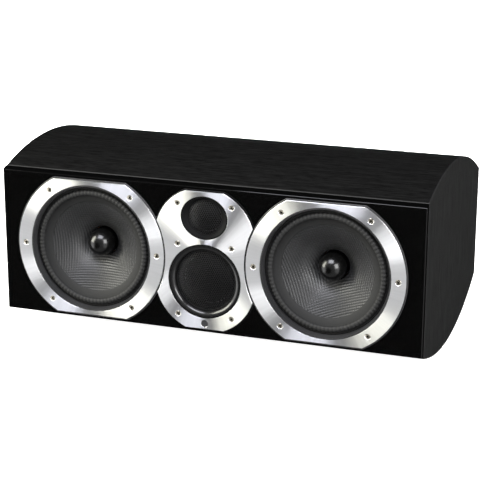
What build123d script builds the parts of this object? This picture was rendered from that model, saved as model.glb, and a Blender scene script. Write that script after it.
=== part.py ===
"""Centre channel loudspeaker: two woofers, a dome midrange and a dome tweeter in a curved cabinet.

Millimetres. +X is to the right seen from the front, -Y is the front, +Z is up.
Every piece is drawn with the baffle's front face at y = 0 and the drivers' axes in the plane z = 0,
and is moved at the end so that the origin is under the middle of the whole part, on the floor.
"""
import os
from math import cos, radians, sin, sqrt

from build123d import *

# Woofer, seen from the front
RING_BORE = 80.4            # inner radius of the aluminium trim ring
RING_BAND = 17.5            # width of the trim ring
RING_FLAT_BAND = 5.2        # what the top and bottom flats leave of that width
FLANGE_BORDER = 1.9         # black flange showing outside the trim ring
FLANGE_THICK = 2.2
FLANGE_EDGE = 0.6           # chamfer round the black flanges
TRIM_THICK = 1.2
TRIM_EDGE = 0.3             # chamfer round the aluminium
SCREW_INSET = 9.3           # from the trim ring's outer edge to its screws
SCREW_LEAN = 52.3           # angle of the four corner screws above and below the axis

# Woofer basket
BEZEL_TOP = 1.2             # flat rim of the bezel inside the trim ring
BEZEL_SLOPE = 2.2           # how far the bezel's wall leans in
BEZEL_DEPTH = 3.5           # depth of the wall's foot behind the baffle face
LANDING_DEPTH = 6.0         # seat of the surround's outer edge
LANDING_WIDTH = 5.2
RIM_WALL = 2.8
BASKET_WALL = 2.9
RIM_LENGTH = 23.0
SPIDER_SHELF = 8.0          # width of the seat under the spider's edge
SPIDER_DEPTH = 46.0
SEAT_DEPTH = 55.0           # front of the plate that the motor is fixed to
SEAT_THICK = 3.0
WINDOWS = 6
WINDOW_ANGLE = 43.0

# Woofer motor and moving parts
PLUG_STEP = 1.3             # how much narrower the plug is than the pole
PLUG_SHOULDER = 30.0        # depth at which the plug's round nose begins
POLE_RADIUS = 18.3
COIL_GAP = 0.65             # air on each side of the coil
FORMER_WALL = 0.45
WINDING_THICK = 0.7
WINDING_LENGTH = 16.0
TOP_PLATE_RADIUS = 47.0
TOP_PLATE_THICK = 6.0
MAGNET_RADIUS = 45.0
MAGNET_BORE = 26.0
MAGNET_THICK = 16.0
BACK_PLATE_THICK = 6.0
ROLL_SPAN = 5.6             # open width between the landing and the cone's edge
CONE_RIM_DEPTH = 5.2        # depth of the cone's outer edge
CONE_NECK_DEPTH = 38.0
CONE_WALL = 0.9
GLUE_LAND = 8.8             # width of the surround's inner edge, glued on the cone
GLUE_RISE = 4.4             # drop of the cone's face over that width
ROLL_THICK = 0.9
GLUE_LINE = 0.12
SPIDER_WAVE = 2.0           # height of a corrugation
SPIDER_WAVES = 4
SPIDER_THICK = 0.8

# Centre plate with the midrange and the tweeter
PLATE_MARGIN = 4.1          # aluminium beside the midrange at the plate's waist
PLATE_TOP = 5.6             # aluminium above the tweeter
PLATE_BRIDGE = 6.4          # aluminium between the tweeter and the midrange
PLATE_FOOT = 13.8           # aluminium below the midrange, with the blank disc
PLATE_SHOULDER = 64.3       # radius of the plate's rounded top and foot
PLATE_FLAT_WIDTH = 48.8     # length of its flats
NOTCH_GAP = 0.55            # gap between the centre plate and a woofer flange
PLATE_SCREW_X = 34.6
PLATE_SCREW_INSET = 16.2    # from the plate's flats to the top and bottom screws
PLATE_SCREW_DROP = 4.7      # middle pair of screws, below the middle of the bridge
DISC_RADIUS = 4.4
DISC_THICK = 1.0
PLATE_FIT = 0.2             # clearance round a bezel in the plate's holes

MID_DOME = 25.3
MID_DOME_RISE = 8.0
MID_LEDGE = 7.0             # seat of the mesh, outside the chamber
MID_BAND = 8.2              # width of the bezel
MID_MESH_DEPTH = 4.0
MID_MESH_CROWN = 5.5        # how far the mesh bulges
MID_RIM = 2.2               # flat rim of the bezel
MID_ROUND = 1.2             # swelling of its rounded inner face
MID_DEPTH = 13.5            # front of the midrange motor
MID_MAGNET_THICK = 16.0

TWEETER_DOME = 12.6
TWEETER_DOME_RISE = 4.6
TWEETER_LEDGE = 3.5
TWEETER_FLARE = 7.9         # width of the oval flare at its sides
TWEETER_FLARE_TOP = 4.6     # and above and below
TWEETER_MESH_DEPTH = 3.0
TWEETER_MESH_CROWN = 4.4
TWEETER_RIM = 1.4           # flat rim of the flare
TWEETER_DEPTH = 9.0
TWEETER_MAGNET_THICK = 10.0

MESH_WALL = 0.7
MESH_SEAT = 1.5             # depth of the recess that takes a mesh's edge
MESH_FIT = 0.1
DOME_WALL = 0.5
DOME_ROLL = 3.2             # width of a dome's rolled edge
DOME_ROLL_RISE = 0.9
DOME_LAND = 2.4             # width of its glued edge
DOME_COIL = 0.6             # thickness of a dome's coil, former and all
DOME_COIL_LENGTH = 7.0
CHAMBER_FIT = 0.3           # between a dome's edge and the wall of its chamber
MOTOR_PLATE = 5.0           # plates of the two small motors
MAGNET_STEP = 3.0           # how much wider a small magnet's hole is than its plate's
BODY_WALL = 4.8             # wall outside a mesh's seat, down to the motor

# Cabinet
END_MARGIN = 19.2           # baffle showing outside each woofer flange
BAFFLE_MARGIN = 2.7         # baffle showing above and below the centre frame
BULGE = 24.7                # how far the curved panels swell past the baffle
CREST_DEPTH = 129.2         # depth of the swelling's highest line
CABINET_DEPTH = 295.5
BACK_HEIGHT = 144.4
BAFFLE_LIP = 9.0            # thickness of the baffle that shows
BAFFLE_REBATE = 9.0         # thickness of the baffle inside the cabinet
BAFFLE_EDGE = 1.2           # radius of its front edges
JOINT_EDGE = 0.8            # chamfers where the baffle meets the cabinet
END_EDGE = 1.5              # radius round the cabinet's ends
CURVED_WALL = 10.0
END_WALL = 18.0
BACK_WALL = 15.0
PANEL_FIT = 0.2
CUTOUT_FIT = 1.2            # clearance of a driver in the baffle
BRACE_WALL = 12.0
BRACE_GAP = 4.0             # between a brace and the crossover board
BRACE_BORDER = 26.0
WADDING_THICK = 28.0
WADDING_FIT = 0.3
WADDING_FRONT = 62.0

# Feet
FOOT_RADIUS = 11.0
FOOT_GAP = 5.0              # height of the cabinet's lowest line above the floor
FOOT_INSET = 60.0           # from the cabinet's ends to the feet
FOOT_FRONT = 40.0           # from the lowest line forward to the front feet
FOOT_REAR = 48.0            # and back to the rear feet
FOOT_EDGE = 1.2

# Screws of all drivers
SCREW_RADIUS = 2.0
SCREW_HEAD = 3.7
SCREW_LENGTH = 16.0
SCREW_FIT = 0.1
RECESS_SPAN = 4.2           # cross recess in a screw's head
RECESS_WIDTH = 1.1
RECESS_DEPTH = 1.6

# Ports
PORT_BORE = 24.0
PORT_WALL = 2.5
PORT_LENGTH = 118.0
PORT_FLANGE = 10.0          # width of the flange round the mouth
PORT_FLANGE_THICK = 2.6
PORT_FLARE = 6.0

# Terminal cup
CUP_WIDTH = 82.0
CUP_HEIGHT = 58.0
CUP_DEPTH = 18.0
CUP_WALL = 2.5
CUP_CORNER = 7.0
CUP_FLANGE = 8.0
CUP_FLANGE_THICK = 3.0
CUP_SCREW_RADIUS = 1.6
CUP_SCREW_HEAD = 3.0
CUP_SCREW_LENGTH = 13.0
POST_SPACING = 28.0
POST_RADIUS = 2.9
POST_BORE = 2.0             # takes a 4 mm plug
POST_COLLAR = 7.6
POST_COLLAR_THICK = 3.0
POST_CLEAR = 2.0            # between the end of a post and the crossover board
CAP_RADIUS = 7.2
CAP_LENGTH = 12.5
CAP_GAP = 0.4               # between a cap and its collar
CAP_FIT = 0.08
CAP_FLUTES = 12
CAP_FLUTE = 1.1

# Crossover, carried by the terminal cup
BOARD_WIDTH = 92.0
BOARD_HEIGHT = 88.0
BOARD_THICK = 1.6
PILLAR_RADIUS = 3.5
PILLAR_LENGTH = 14.0
COIL_RADIUS = 17.0
COIL_BORE = 7.0
COIL_HEIGHT = 15.0
CAPACITOR_RADIUS = 7.5
CAPACITOR_LENGTH = 27.0
RESISTOR_SIDE = 8.5
RESISTOR_LENGTH = 34.0
BOARD_EDGE = 1.5            # from the board's edge to the first row
BOARD_GAP = 2.5             # between the rows
PILLAR_INSET = 10.0

# What follows from those sizes
RING_RADIUS = RING_BORE + RING_BAND
RING_FLAT = RING_BORE + RING_FLAT_BAND
FLANGE_RADIUS = RING_RADIUS + FLANGE_BORDER
FLANGE_FLAT = RING_FLAT + FLANGE_BORDER
SCREW_CIRCLE = RING_RADIUS - SCREW_INSET
FACE = -(FLANGE_THICK + TRIM_THICK)
BEZEL_RADIUS = RING_BORE - PLATE_FIT
BEZEL_FOOT = BEZEL_RADIUS - BEZEL_TOP - BEZEL_SLOPE
RIM_RADIUS = BEZEL_FOOT + RIM_WALL
BASKET_BORE = RIM_RADIUS - BASKET_WALL
LANDING_RADIUS = BEZEL_FOOT - LANDING_WIDTH
CONE_RADIUS = LANDING_RADIUS - ROLL_SPAN
CUTOUT_RADIUS = RIM_RADIUS + CUTOUT_FIT

PLUG_RADIUS = POLE_RADIUS - PLUG_STEP
FORMER_BORE = POLE_RADIUS + COIL_GAP
FORMER_RADIUS = FORMER_BORE + FORMER_WALL
WINDING_RADIUS = FORMER_RADIUS + WINDING_THICK
PLATE_BORE = WINDING_RADIUS + COIL_GAP
MOTOR_FRONT = SEAT_DEPTH + SEAT_THICK
MAGNET_FRONT = MOTOR_FRONT + TOP_PLATE_THICK
MAGNET_BACK = MAGNET_FRONT + MAGNET_THICK
WINDING_FRONT = MOTOR_FRONT + (TOP_PLATE_THICK - WINDING_LENGTH) / 2
WINDING_BACK = WINDING_FRONT + WINDING_LENGTH

DOME_EDGE = DOME_ROLL + DOME_LAND
MID_CHAMBER = MID_DOME + DOME_EDGE + CHAMBER_FIT
MID_MESH = MID_CHAMBER + MID_LEDGE
MID_BODY = MID_MESH + BODY_WALL
MID_BEZEL = MID_MESH + MID_BAND
TWEETER_CHAMBER = TWEETER_DOME + DOME_EDGE + CHAMBER_FIT
TWEETER_MESH = TWEETER_CHAMBER + TWEETER_LEDGE
TWEETER_BODY = TWEETER_MESH + BODY_WALL
TWEETER_HALF_WIDTH = TWEETER_MESH + TWEETER_FLARE
TWEETER_HALF_HEIGHT = TWEETER_MESH + TWEETER_FLARE_TOP

PLATE_WAIST = MID_BEZEL + PLATE_MARGIN
NOTCH_RADIUS = FLANGE_RADIUS + NOTCH_GAP
WOOFER_X = PLATE_WAIST + NOTCH_RADIUS
PLATE_FLAT = (PLATE_TOP + PLATE_BRIDGE + PLATE_FOOT) / 2 + TWEETER_HALF_HEIGHT + MID_BEZEL
PLATE_CENTRE = PLATE_FLAT - sqrt(PLATE_SHOULDER**2 - PLATE_FLAT_WIDTH**2 / 4)
TWEETER_Z = PLATE_FLAT - PLATE_TOP - TWEETER_HALF_HEIGHT
MID_Z = PLATE_FLAT - PLATE_TOP - 2 * TWEETER_HALF_HEIGHT - PLATE_BRIDGE - MID_BEZEL
DISC_Z = (MID_Z - MID_BEZEL - PLATE_FLAT) / 2
BRIDGE_Z = MID_Z + MID_BEZEL + PLATE_BRIDGE / 2
FRAME_FLAT = PLATE_FLAT + FLANGE_BORDER

CABINET_WIDTH = 2 * (WOOFER_X + FLANGE_RADIUS + END_MARGIN)
BAFFLE_HEIGHT = 2 * (max(FRAME_FLAT, FLANGE_FLAT) + BAFFLE_MARGIN)
CREST_HALF = BAFFLE_HEIGHT / 2 + BULGE
BAFFLE_THICK = BAFFLE_LIP + BAFFLE_REBATE
INNER_BACK = CABINET_DEPTH - BACK_WALL
INNER_END = CABINET_WIDTH / 2 - END_WALL
FRONT_RADIUS = (CREST_DEPTH**2 + BULGE**2) / (2 * BULGE)
REAR_RUN = CABINET_DEPTH - CREST_DEPTH
REAR_DROP = CREST_HALF - BACK_HEIGHT / 2
REAR_RADIUS = (REAR_RUN**2 + REAR_DROP**2) / (2 * REAR_DROP)
REAR_FACE = CABINET_DEPTH + CUP_FLANGE_THICK
BRACE_OFFSET = BOARD_WIDTH / 2 + BRACE_GAP + BRACE_WALL / 2
FLOOR = -(CREST_HALF + FOOT_GAP)
MIDDLE = (FACE + REAR_FACE) / 2
CUP_BACK = CABINET_DEPTH - CUP_DEPTH
CUP_FLOOR = CUP_BACK + CUP_WALL
CAP_FRONT = CUP_FLOOR + POST_COLLAR_THICK + CAP_GAP
BOARD_BACK = CUP_BACK - PILLAR_LENGTH
BOARD_FRONT = BOARD_BACK - BOARD_THICK
POST_FRONT = BOARD_BACK + POST_CLEAR
SIDES = {"left": -1, "right": 1}


# Basic shapes
def block(x, y, z):
    """Box given by its (low, high) limits along each axis."""
    low = Vector(x[0], y[0], z[0])
    size = Vector(x[1], y[1], z[1]) - low
    return Pos(low + size / 2) * Box(size.X, size.Y, size.Z)


def slab(outline, front, back):
    """Outline in X and Z, made solid between two depths."""
    return extrude(Plane.XZ.offset(-back) * outline, back - front)


def prism(outline, left, right):
    """Outline in depth and height, made solid between two places along X."""
    return extrude(Plane.YZ.offset(left) * outline, right - left)


def turned(*lines):
    """Solid of revolution about the Y axis from lines in (radius, depth)."""
    return revolve(make_face(lines), Axis.Y)


def turned_polygon(*points):
    """Solid of revolution about the Y axis from corners in (radius, depth)."""
    return turned(Polyline(*points, close=True))


def ring(bore, radius, front, back):
    """Flat ring on the Y axis between two depths."""
    return turned_polygon((bore, front), (radius, front), (radius, back), (bore, back))


def slug(radius, front, back):
    """Round slug on the Y axis between two depths."""
    return ring(0, radius, front, back)


def screw(head, radius, length, grow=0):
    """Countersunk screw on the Y axis, its head flush at y = 0, or, grown, the hole for it."""
    body = turned_polygon(
        (0, 0),
        (head + grow, 0),
        (radius + grow, head - radius),
        (radius + grow, length + grow),
        (0, length + grow),
    )
    if grow:
        return body
    cross = Rectangle(RECESS_SPAN, RECESS_WIDTH) + Rectangle(RECESS_WIDTH, RECESS_SPAN)
    return body - slab(cross, 0, RECESS_DEPTH)


def both(place, *shapes):
    """The shapes at a place and at its mirror image in X."""
    return [Pos(side * place[0], 0, place[1]) * shape for side in SIDES.values() for shape in shapes]


# Screws of the drivers
def screw_places():
    """(x, z) of every driver screw."""
    lean = radians(SCREW_LEAN)
    across = SCREW_CIRCLE * cos(lean)
    up = SCREW_CIRCLE * sin(lean)
    corners = [(i * across, j * up) for i in (-1, 1) for j in (-1, 1)]
    around = corners + [(-SCREW_CIRCLE, 0), (SCREW_CIRCLE, 0)]
    woofers = [(side * WOOFER_X + x, z) for side in SIDES.values() for x, z in around]
    end = PLATE_FLAT - PLATE_SCREW_INSET
    heights = (end, BRIDGE_Z - PLATE_SCREW_DROP, -end)
    plate = [(side * PLATE_SCREW_X, z) for side in SIDES.values() for z in heights]
    return woofers + plate


def driver_screws(grow=0):
    """All driver screws, heads flush with the aluminium, or the holes for them."""
    one = screw(SCREW_HEAD, SCREW_RADIUS, SCREW_LENGTH, grow)
    return [Pos(x, FACE, z) * one for x, z in screw_places()]


# Cabinet
def half_height(depth, inset=0):
    """Half the cabinet's height at a depth, measured to a curve inside its outer face."""
    if depth < CREST_DEPTH:
        radius = FRONT_RADIUS
    else:
        radius = REAR_RADIUS
    return CREST_HALF - radius + sqrt((radius - inset) ** 2 - (depth - CREST_DEPTH) ** 2)


def cabinet_outline(inset=0):
    """End view of the cabinet: two arcs above, two below, flat in front and behind."""
    crest = CREST_HALF - inset
    front = half_height(0, inset)
    back = half_height(CABINET_DEPTH, inset)
    edges = [
        Line((0, -front), (0, front)),
        Line((CABINET_DEPTH, -back), (CABINET_DEPTH, back)),
    ]
    for side in (-1, 1):
        top = (CREST_DEPTH, side * crest)
        edges.append(TangentArc(top, (0, side * front), tangent=(-1, 0)))
        edges.append(TangentArc(top, (CABINET_DEPTH, side * back), tangent=(1, 0)))
    return make_face(edges)


def front_edges(shape):
    """Edges of a shape's front face."""
    return shape.faces().sort_by(Axis.Y)[0].edges()


def within(shape, front, back):
    """The part of a shape between two depths."""
    reach = CABINET_WIDTH
    return shape & block((-reach, reach), (front, back), (-reach, reach))


def curved_panel(side):
    """Top (side 1) or bottom (side -1) panel, bent to the cabinet's curve."""
    outer = prism(cabinet_outline(), -INNER_END, INNER_END)
    wall = outer - prism(cabinet_outline(CURVED_WALL), -INNER_END, INNER_END)
    half = sorted((0, side * CABINET_WIDTH))
    panel = wall & block((-INNER_END, INNER_END), (BAFFLE_LIP, CABINET_DEPTH), half)
    outer = front_edges(panel).sort_by(lambda edge: side * edge.center().Z)[-1]
    return chamfer(outer, JOINT_EDGE)


def end_panel(side):
    """Flat end of the cabinet with the whole outline."""
    left, right = sorted((side * INNER_END, side * CABINET_WIDTH / 2))
    panel = within(prism(cabinet_outline(), left, right), BAFFLE_LIP, CABINET_DEPTH)
    upright = front_edges(panel).sort_by(Axis.Z)
    panel = chamfer([upright[0], upright[-1]], JOINT_EDGE)
    outside = panel.faces().sort_by(lambda face: side * face.center().X)[-1]
    return fillet(outside.edges(), END_EDGE)


def front_baffle():
    """Front board: a lip as wide as the cabinet, and a thinner back that fits inside it."""
    lip = prism(cabinet_outline(), -CABINET_WIDTH / 2, CABINET_WIDTH / 2)
    lip = within(lip, 0, BAFFLE_LIP)
    lip = fillet(front_edges(lip), BAFFLE_EDGE)
    lip = chamfer(lip.faces().sort_by(Axis.Y)[-1].edges(), JOINT_EDGE)
    width = INNER_END - PANEL_FIT
    height = half_height(BAFFLE_LIP, CURVED_WALL) - PANEL_FIT
    board = lip + block((-width, width), (BAFFLE_LIP, BAFFLE_THICK), (-height, height))
    board -= both((WOOFER_X, 0), slug(CUTOUT_RADIUS, 0, BAFFLE_THICK))
    board -= Pos(0, 0, MID_Z) * slug(MID_BODY + CUTOUT_FIT, 0, BAFFLE_THICK)
    board -= Pos(0, 0, TWEETER_Z) * slug(TWEETER_BODY + CUTOUT_FIT, 0, BAFFLE_THICK)
    return board - driver_screws(SCREW_FIT)


def back_panel():
    """Rear board between the ends and the curved panels, with holes for the ports and the cup."""
    width = INNER_END - PANEL_FIT
    board = prism(cabinet_outline(CURVED_WALL + PANEL_FIT), -width, width)
    board = within(board, INNER_BACK, CABINET_DEPTH)
    hole = slug(PORT_BORE + PORT_WALL + PANEL_FIT, INNER_BACK, CABINET_DEPTH)
    board -= both((WOOFER_X, 0), hole)
    cup = RectangleRounded(CUP_WIDTH + 2 * PANEL_FIT, CUP_HEIGHT + 2 * PANEL_FIT, CUP_CORNER)
    board -= slab(cup, INNER_BACK, CABINET_DEPTH)
    return board - cup_screws(SCREW_FIT)


def brace(side):
    """Board across the inside of the cabinet, open in the middle."""
    left = side * BRACE_OFFSET - BRACE_WALL / 2
    right = left + BRACE_WALL
    board = prism(cabinet_outline(CURVED_WALL + PANEL_FIT), left, right)
    board = within(board, BAFFLE_THICK, INNER_BACK)
    window = prism(cabinet_outline(CURVED_WALL + BRACE_BORDER), left, right)
    return board - within(window, BAFFLE_THICK + BRACE_BORDER, INNER_BACK - BRACE_BORDER)


def wadding(side):
    """Pad of soft filling against an end of the cabinet."""
    outside = INNER_END - WADDING_FIT
    left, right = sorted((side * outside, side * (outside - WADDING_THICK)))
    pad = prism(cabinet_outline(CURVED_WALL + WADDING_FIT), left, right)
    return within(pad, WADDING_FRONT, INNER_BACK - WADDING_FIT)


def feet():
    """Four round rubber feet whose tops follow the curve of the bottom."""
    height = -half_height(CREST_DEPTH + FOOT_REAR + FOOT_RADIUS) + CREST_HALF + FOOT_GAP
    foot = Pos(0, 0, FLOOR + height / 2) * Cylinder(FOOT_RADIUS, height)
    foot = fillet(foot.edges().sort_by(Axis.Z)[0], FOOT_EDGE)
    cabinet = prism(cabinet_outline(), -CABINET_WIDTH / 2, CABINET_WIDTH / 2)
    x = CABINET_WIDTH / 2 - FOOT_INSET
    depths = (CREST_DEPTH - FOOT_FRONT, CREST_DEPTH + FOOT_REAR)
    return [Pos(side * x, depth, 0) * foot - cabinet for side in SIDES.values() for depth in depths]


# Woofers
def woofer_outline(radius, flat):
    """Circle cut off by a flat above and below."""
    return Circle(radius) & Rectangle(2 * radius, 2 * flat)


def basket_bore(depth):
    """Inner radius of the basket's tapered wall at a depth behind its rim."""
    slope = (RIM_RADIUS - TOP_PLATE_RADIUS) / (MOTOR_FRONT - RIM_LENGTH)
    return BASKET_BORE - slope * (depth - RIM_LENGTH)


def woofer_basket():
    """Frame of a woofer: flange, bezel, landing for the surround, legs, shelf and motor seat."""
    shelf = basket_bore(SPIDER_DEPTH)
    shelf_back = SPIDER_DEPTH + BASKET_WALL
    body = turned_polygon(
        (BEZEL_RADIUS, FACE),
        (BEZEL_RADIUS - BEZEL_TOP, FACE),
        (BEZEL_FOOT, BEZEL_DEPTH),
        (BEZEL_FOOT, LANDING_DEPTH),
        (LANDING_RADIUS, LANDING_DEPTH),
        (LANDING_RADIUS, LANDING_DEPTH + BASKET_WALL),
        (BASKET_BORE, LANDING_DEPTH + BASKET_WALL),
        (BASKET_BORE, RIM_LENGTH),
        (shelf, SPIDER_DEPTH),
        (shelf - SPIDER_SHELF, SPIDER_DEPTH),
        (shelf - SPIDER_SHELF, shelf_back),
        (basket_bore(shelf_back), shelf_back),
        (basket_bore(SEAT_DEPTH), SEAT_DEPTH),
        (MAGNET_BORE, SEAT_DEPTH),
        (MAGNET_BORE, MOTOR_FRONT),
        (TOP_PLATE_RADIUS, MOTOR_FRONT),
        (RIM_RADIUS, RIM_LENGTH),
        (RIM_RADIUS, 0),
        (BEZEL_RADIUS, 0),
    )
    flange = slab(woofer_outline(FLANGE_RADIUS, FLANGE_FLAT), -FLANGE_THICK, 0)
    flange = chamfer(front_edges(flange), FLANGE_EDGE)
    basket = body + (flange - slug(BEZEL_FOOT + RIM_WALL / 2, -FLANGE_THICK, 0))
    opening = Pos(RIM_RADIUS, (RIM_LENGTH + SPIDER_DEPTH) / 2)
    opening *= Rectangle(RIM_RADIUS, SPIDER_DEPTH - RIM_LENGTH - BASKET_WALL)
    pitch = 360 / WINDOWS
    leg = pitch - WINDOW_ANGLE
    window = Rot(0, leg / 2, 0) * revolve(opening, Axis.Y, WINDOW_ANGLE)
    return basket - [Rot(0, turn * pitch, 0) * window for turn in range(WINDOWS)]


def trim_ring():
    """Aluminium ring on a woofer's flange."""
    plate = slab(woofer_outline(RING_RADIUS, RING_FLAT), FACE, -FLANGE_THICK)
    plate -= slug(RING_BORE, FACE, -FLANGE_THICK)
    return chamfer(front_edges(plate), TRIM_EDGE)


def cone_face(shift):
    """Lines of the cone's front face from its rim to its neck, moved along the axis."""
    rim = (CONE_RADIUS, CONE_RIM_DEPTH + shift)
    land = (CONE_RADIUS - GLUE_LAND, CONE_RIM_DEPTH + GLUE_RISE + shift)
    neck = (FORMER_RADIUS, CONE_NECK_DEPTH + shift)
    straight = Line(rim, land)
    curve = TangentArc(land, neck, tangent=(-GLUE_LAND, GLUE_RISE))
    return [straight, curve]


def cone():
    """Flared cone, straight under the glued edge of the surround."""
    rim = Line((CONE_RADIUS, CONE_RIM_DEPTH), (CONE_RADIUS, CONE_RIM_DEPTH + CONE_WALL))
    back = CONE_NECK_DEPTH + CONE_WALL
    neck = Line((FORMER_RADIUS, CONE_NECK_DEPTH), (FORMER_RADIUS, back))
    return turned(*cone_face(0), *cone_face(CONE_WALL), rim, neck)


def surround():
    """Rubber half-roll between the basket's landing and the face of the cone."""
    outside = BEZEL_FOOT - GLUE_LINE
    base = LANDING_DEPTH - ROLL_THICK
    inside = CONE_RADIUS + GLUE_LINE
    outer_edge = LANDING_RADIUS + 2 * ROLL_THICK
    middle = (outer_edge + inside) / 2
    outer = (outer_edge - inside) / 2
    inner = outer - ROLL_THICK
    land = (CONE_RADIUS - GLUE_LAND, CONE_RIM_DEPTH + GLUE_RISE - GLUE_LINE)
    rim = (inside, CONE_RIM_DEPTH - GLUE_LINE)
    front = (land[0], land[1] - ROLL_THICK)
    return turned(
        Polyline((outside, LANDING_DEPTH), (outside, base), (middle + outer, base)),
        ThreePointArc((middle + outer, base), (middle, base - outer), (middle - outer, base)),
        Polyline((middle - outer, base), (rim[0], rim[1] - ROLL_THICK), front, land, rim),
        Polyline(rim, (middle - inner, base)),
        ThreePointArc((middle - inner, base), (middle, base - inner), (middle + inner, base)),
        Polyline((middle + inner, base), (middle + inner, LANDING_DEPTH), (outside, LANDING_DEPTH)),
    )


def spider():
    """Corrugated disc that keeps the coil in the middle of its gap."""
    outside = basket_bore(SPIDER_DEPTH) - GLUE_LINE - BASKET_WALL
    inside = FORMER_RADIUS + GLUE_LINE
    first = inside + SPIDER_WAVE
    last = outside - SPIDER_SHELF + BASKET_WALL
    steps = 2 * SPIDER_WAVES
    level = SPIDER_DEPTH - SPIDER_THICK
    crests = [level - SPIDER_WAVE * (step % 2) for step in range(steps + 1)]
    radii = [first + (last - first) * step / steps for step in range(steps + 1)]
    face = [(inside, level), *zip(radii, crests), (outside, level)]
    rear = [(radius, depth + SPIDER_THICK) for radius, depth in reversed(face)]
    return turned_polygon(*face, *rear)


def voice_coil():
    """Former with its winding."""
    former = ring(FORMER_BORE, FORMER_RADIUS, CONE_NECK_DEPTH, WINDING_BACK)
    return former + ring(FORMER_RADIUS, WINDING_RADIUS, WINDING_FRONT, WINDING_BACK)


def phase_plug():
    """Round-nosed plug on the pole piece."""
    tip = PLUG_SHOULDER - PLUG_RADIUS
    return turned(
        TangentArc((0, tip), (PLUG_RADIUS, PLUG_SHOULDER), tangent=(1, 0)),
        Polyline((PLUG_RADIUS, PLUG_SHOULDER), (PLUG_RADIUS, MOTOR_FRONT), (0, MOTOR_FRONT), (0, tip)),
    )


def back_plate():
    """Rear plate of a woofer's motor with its pole."""
    pole = slug(POLE_RADIUS, MOTOR_FRONT, MAGNET_BACK)
    return pole + slug(MAGNET_RADIUS, MAGNET_BACK, MAGNET_BACK + BACK_PLATE_THICK)


def woofer_parts():
    """Name and solid of each piece of a woofer, on the Y axis."""
    return {
        "basket": woofer_basket(),
        "trim_ring": trim_ring(),
        "surround": surround(),
        "cone": cone(),
        "phase_plug": phase_plug(),
        "voice_coil": voice_coil(),
        "spider": spider(),
        "top_plate": ring(PLATE_BORE, TOP_PLATE_RADIUS, MOTOR_FRONT, MAGNET_FRONT),
        "magnet": ring(MAGNET_BORE, MAGNET_RADIUS, MAGNET_FRONT, MAGNET_BACK),
        "back_plate": back_plate(),
    }


# Midrange and tweeter
def centre_outline(border=0):
    """Plate with rounded top and foot, flats, and a bay at each side for a woofer."""
    radius = PLATE_SHOULDER + border
    outline = Rectangle(2 * radius, 2 * PLATE_CENTRE)
    outline += [Pos(0, side * PLATE_CENTRE) * Circle(radius) for side in (-1, 1)]
    outline &= Rectangle(2 * radius, 2 * (PLATE_FLAT + border))
    return outline - [Pos(side * WOOFER_X, 0) * Circle(NOTCH_RADIUS) for side in SIDES.values()]


def tweeter_oval(border=0):
    """Oval mouth of the tweeter."""
    return Pos(0, TWEETER_Z) * Ellipse(TWEETER_HALF_WIDTH + border, TWEETER_HALF_HEIGHT + border)


def centre_plate():
    """Aluminium plate round the midrange and the tweeter."""
    outline = centre_outline() - tweeter_oval(PLATE_FIT)
    outline -= Pos(0, MID_Z) * Circle(MID_BEZEL + PLATE_FIT)
    outline -= Pos(0, DISC_Z) * Circle(DISC_RADIUS + PLATE_FIT)
    plate = slab(outline, FACE, -FLANGE_THICK)
    return chamfer(front_edges(plate), TRIM_EDGE) - driver_screws(SCREW_FIT)


def mid_bezel():
    """Rounded bezel and chamber wall of the midrange, on the Y axis."""
    edge = MID_BEZEL - MID_RIM
    foot = MID_MESH_DEPTH - MESH_SEAT
    swell = ((edge + MID_MESH) / 2 - MID_ROUND, (FACE + foot) / 2 - MID_ROUND)
    return turned(
        Polyline((MID_BEZEL, 0), (MID_BEZEL, FACE), (edge, FACE)),
        ThreePointArc((edge, FACE), swell, (MID_MESH, foot)),
        Polyline((MID_MESH, foot), (MID_MESH, MID_MESH_DEPTH), (MID_CHAMBER, MID_MESH_DEPTH)),
        Polyline((MID_CHAMBER, MID_MESH_DEPTH), (MID_CHAMBER, MID_DEPTH), (MID_BODY, MID_DEPTH)),
        Polyline((MID_BODY, MID_DEPTH), (MID_BODY, 0), (MID_BEZEL, 0)),
    )


def tweeter_flare():
    """Hollow of the tweeter: an oval mouth that narrows to the round mesh, then the chamber."""
    mouth = Plane.XZ.offset(-FACE) * tweeter_oval(-TWEETER_RIM)
    foot = TWEETER_MESH_DEPTH - MESH_SEAT
    throat = Plane.XZ.offset(-foot) * (Pos(0, TWEETER_Z) * Circle(TWEETER_MESH))
    seat = slug(TWEETER_MESH, foot, TWEETER_MESH_DEPTH)
    chamber = slug(TWEETER_CHAMBER, TWEETER_MESH_DEPTH, TWEETER_DEPTH)
    return loft([mouth, throat]) + Pos(0, 0, TWEETER_Z) * (seat + chamber)


def centre_frame():
    """Black moulding behind the centre plate, with both bezels and both chambers."""
    frame = slab(centre_outline(FLANGE_BORDER), -FLANGE_THICK, 0)
    frame = chamfer(front_edges(frame), FLANGE_EDGE)
    frame -= Pos(0, 0, MID_Z) * slug(MID_BEZEL, -FLANGE_THICK, 0)
    frame += Pos(0, 0, MID_Z) * mid_bezel()
    frame += slab(tweeter_oval(), FACE, -FLANGE_THICK)
    frame += Pos(0, 0, TWEETER_Z) * slug(TWEETER_BODY, 0, TWEETER_DEPTH)
    return frame - tweeter_flare() - driver_screws(SCREW_FIT)


def mesh(radius, bulge, depth):
    """Domed metal mesh, its edge seated at a depth, drawn as a thin closed shell."""
    edge = radius - MESH_FIT
    crown = depth - MESH_WALL - bulge
    return turned(
        TangentArc((0, crown), (edge, depth - MESH_WALL), tangent=(1, 0)),
        Line((edge, depth - MESH_WALL), (edge, depth)),
        TangentArc((0, crown + MESH_WALL), (edge, depth), tangent=(1, 0)),
        Line((0, crown), (0, crown + MESH_WALL)),
    )


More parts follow.
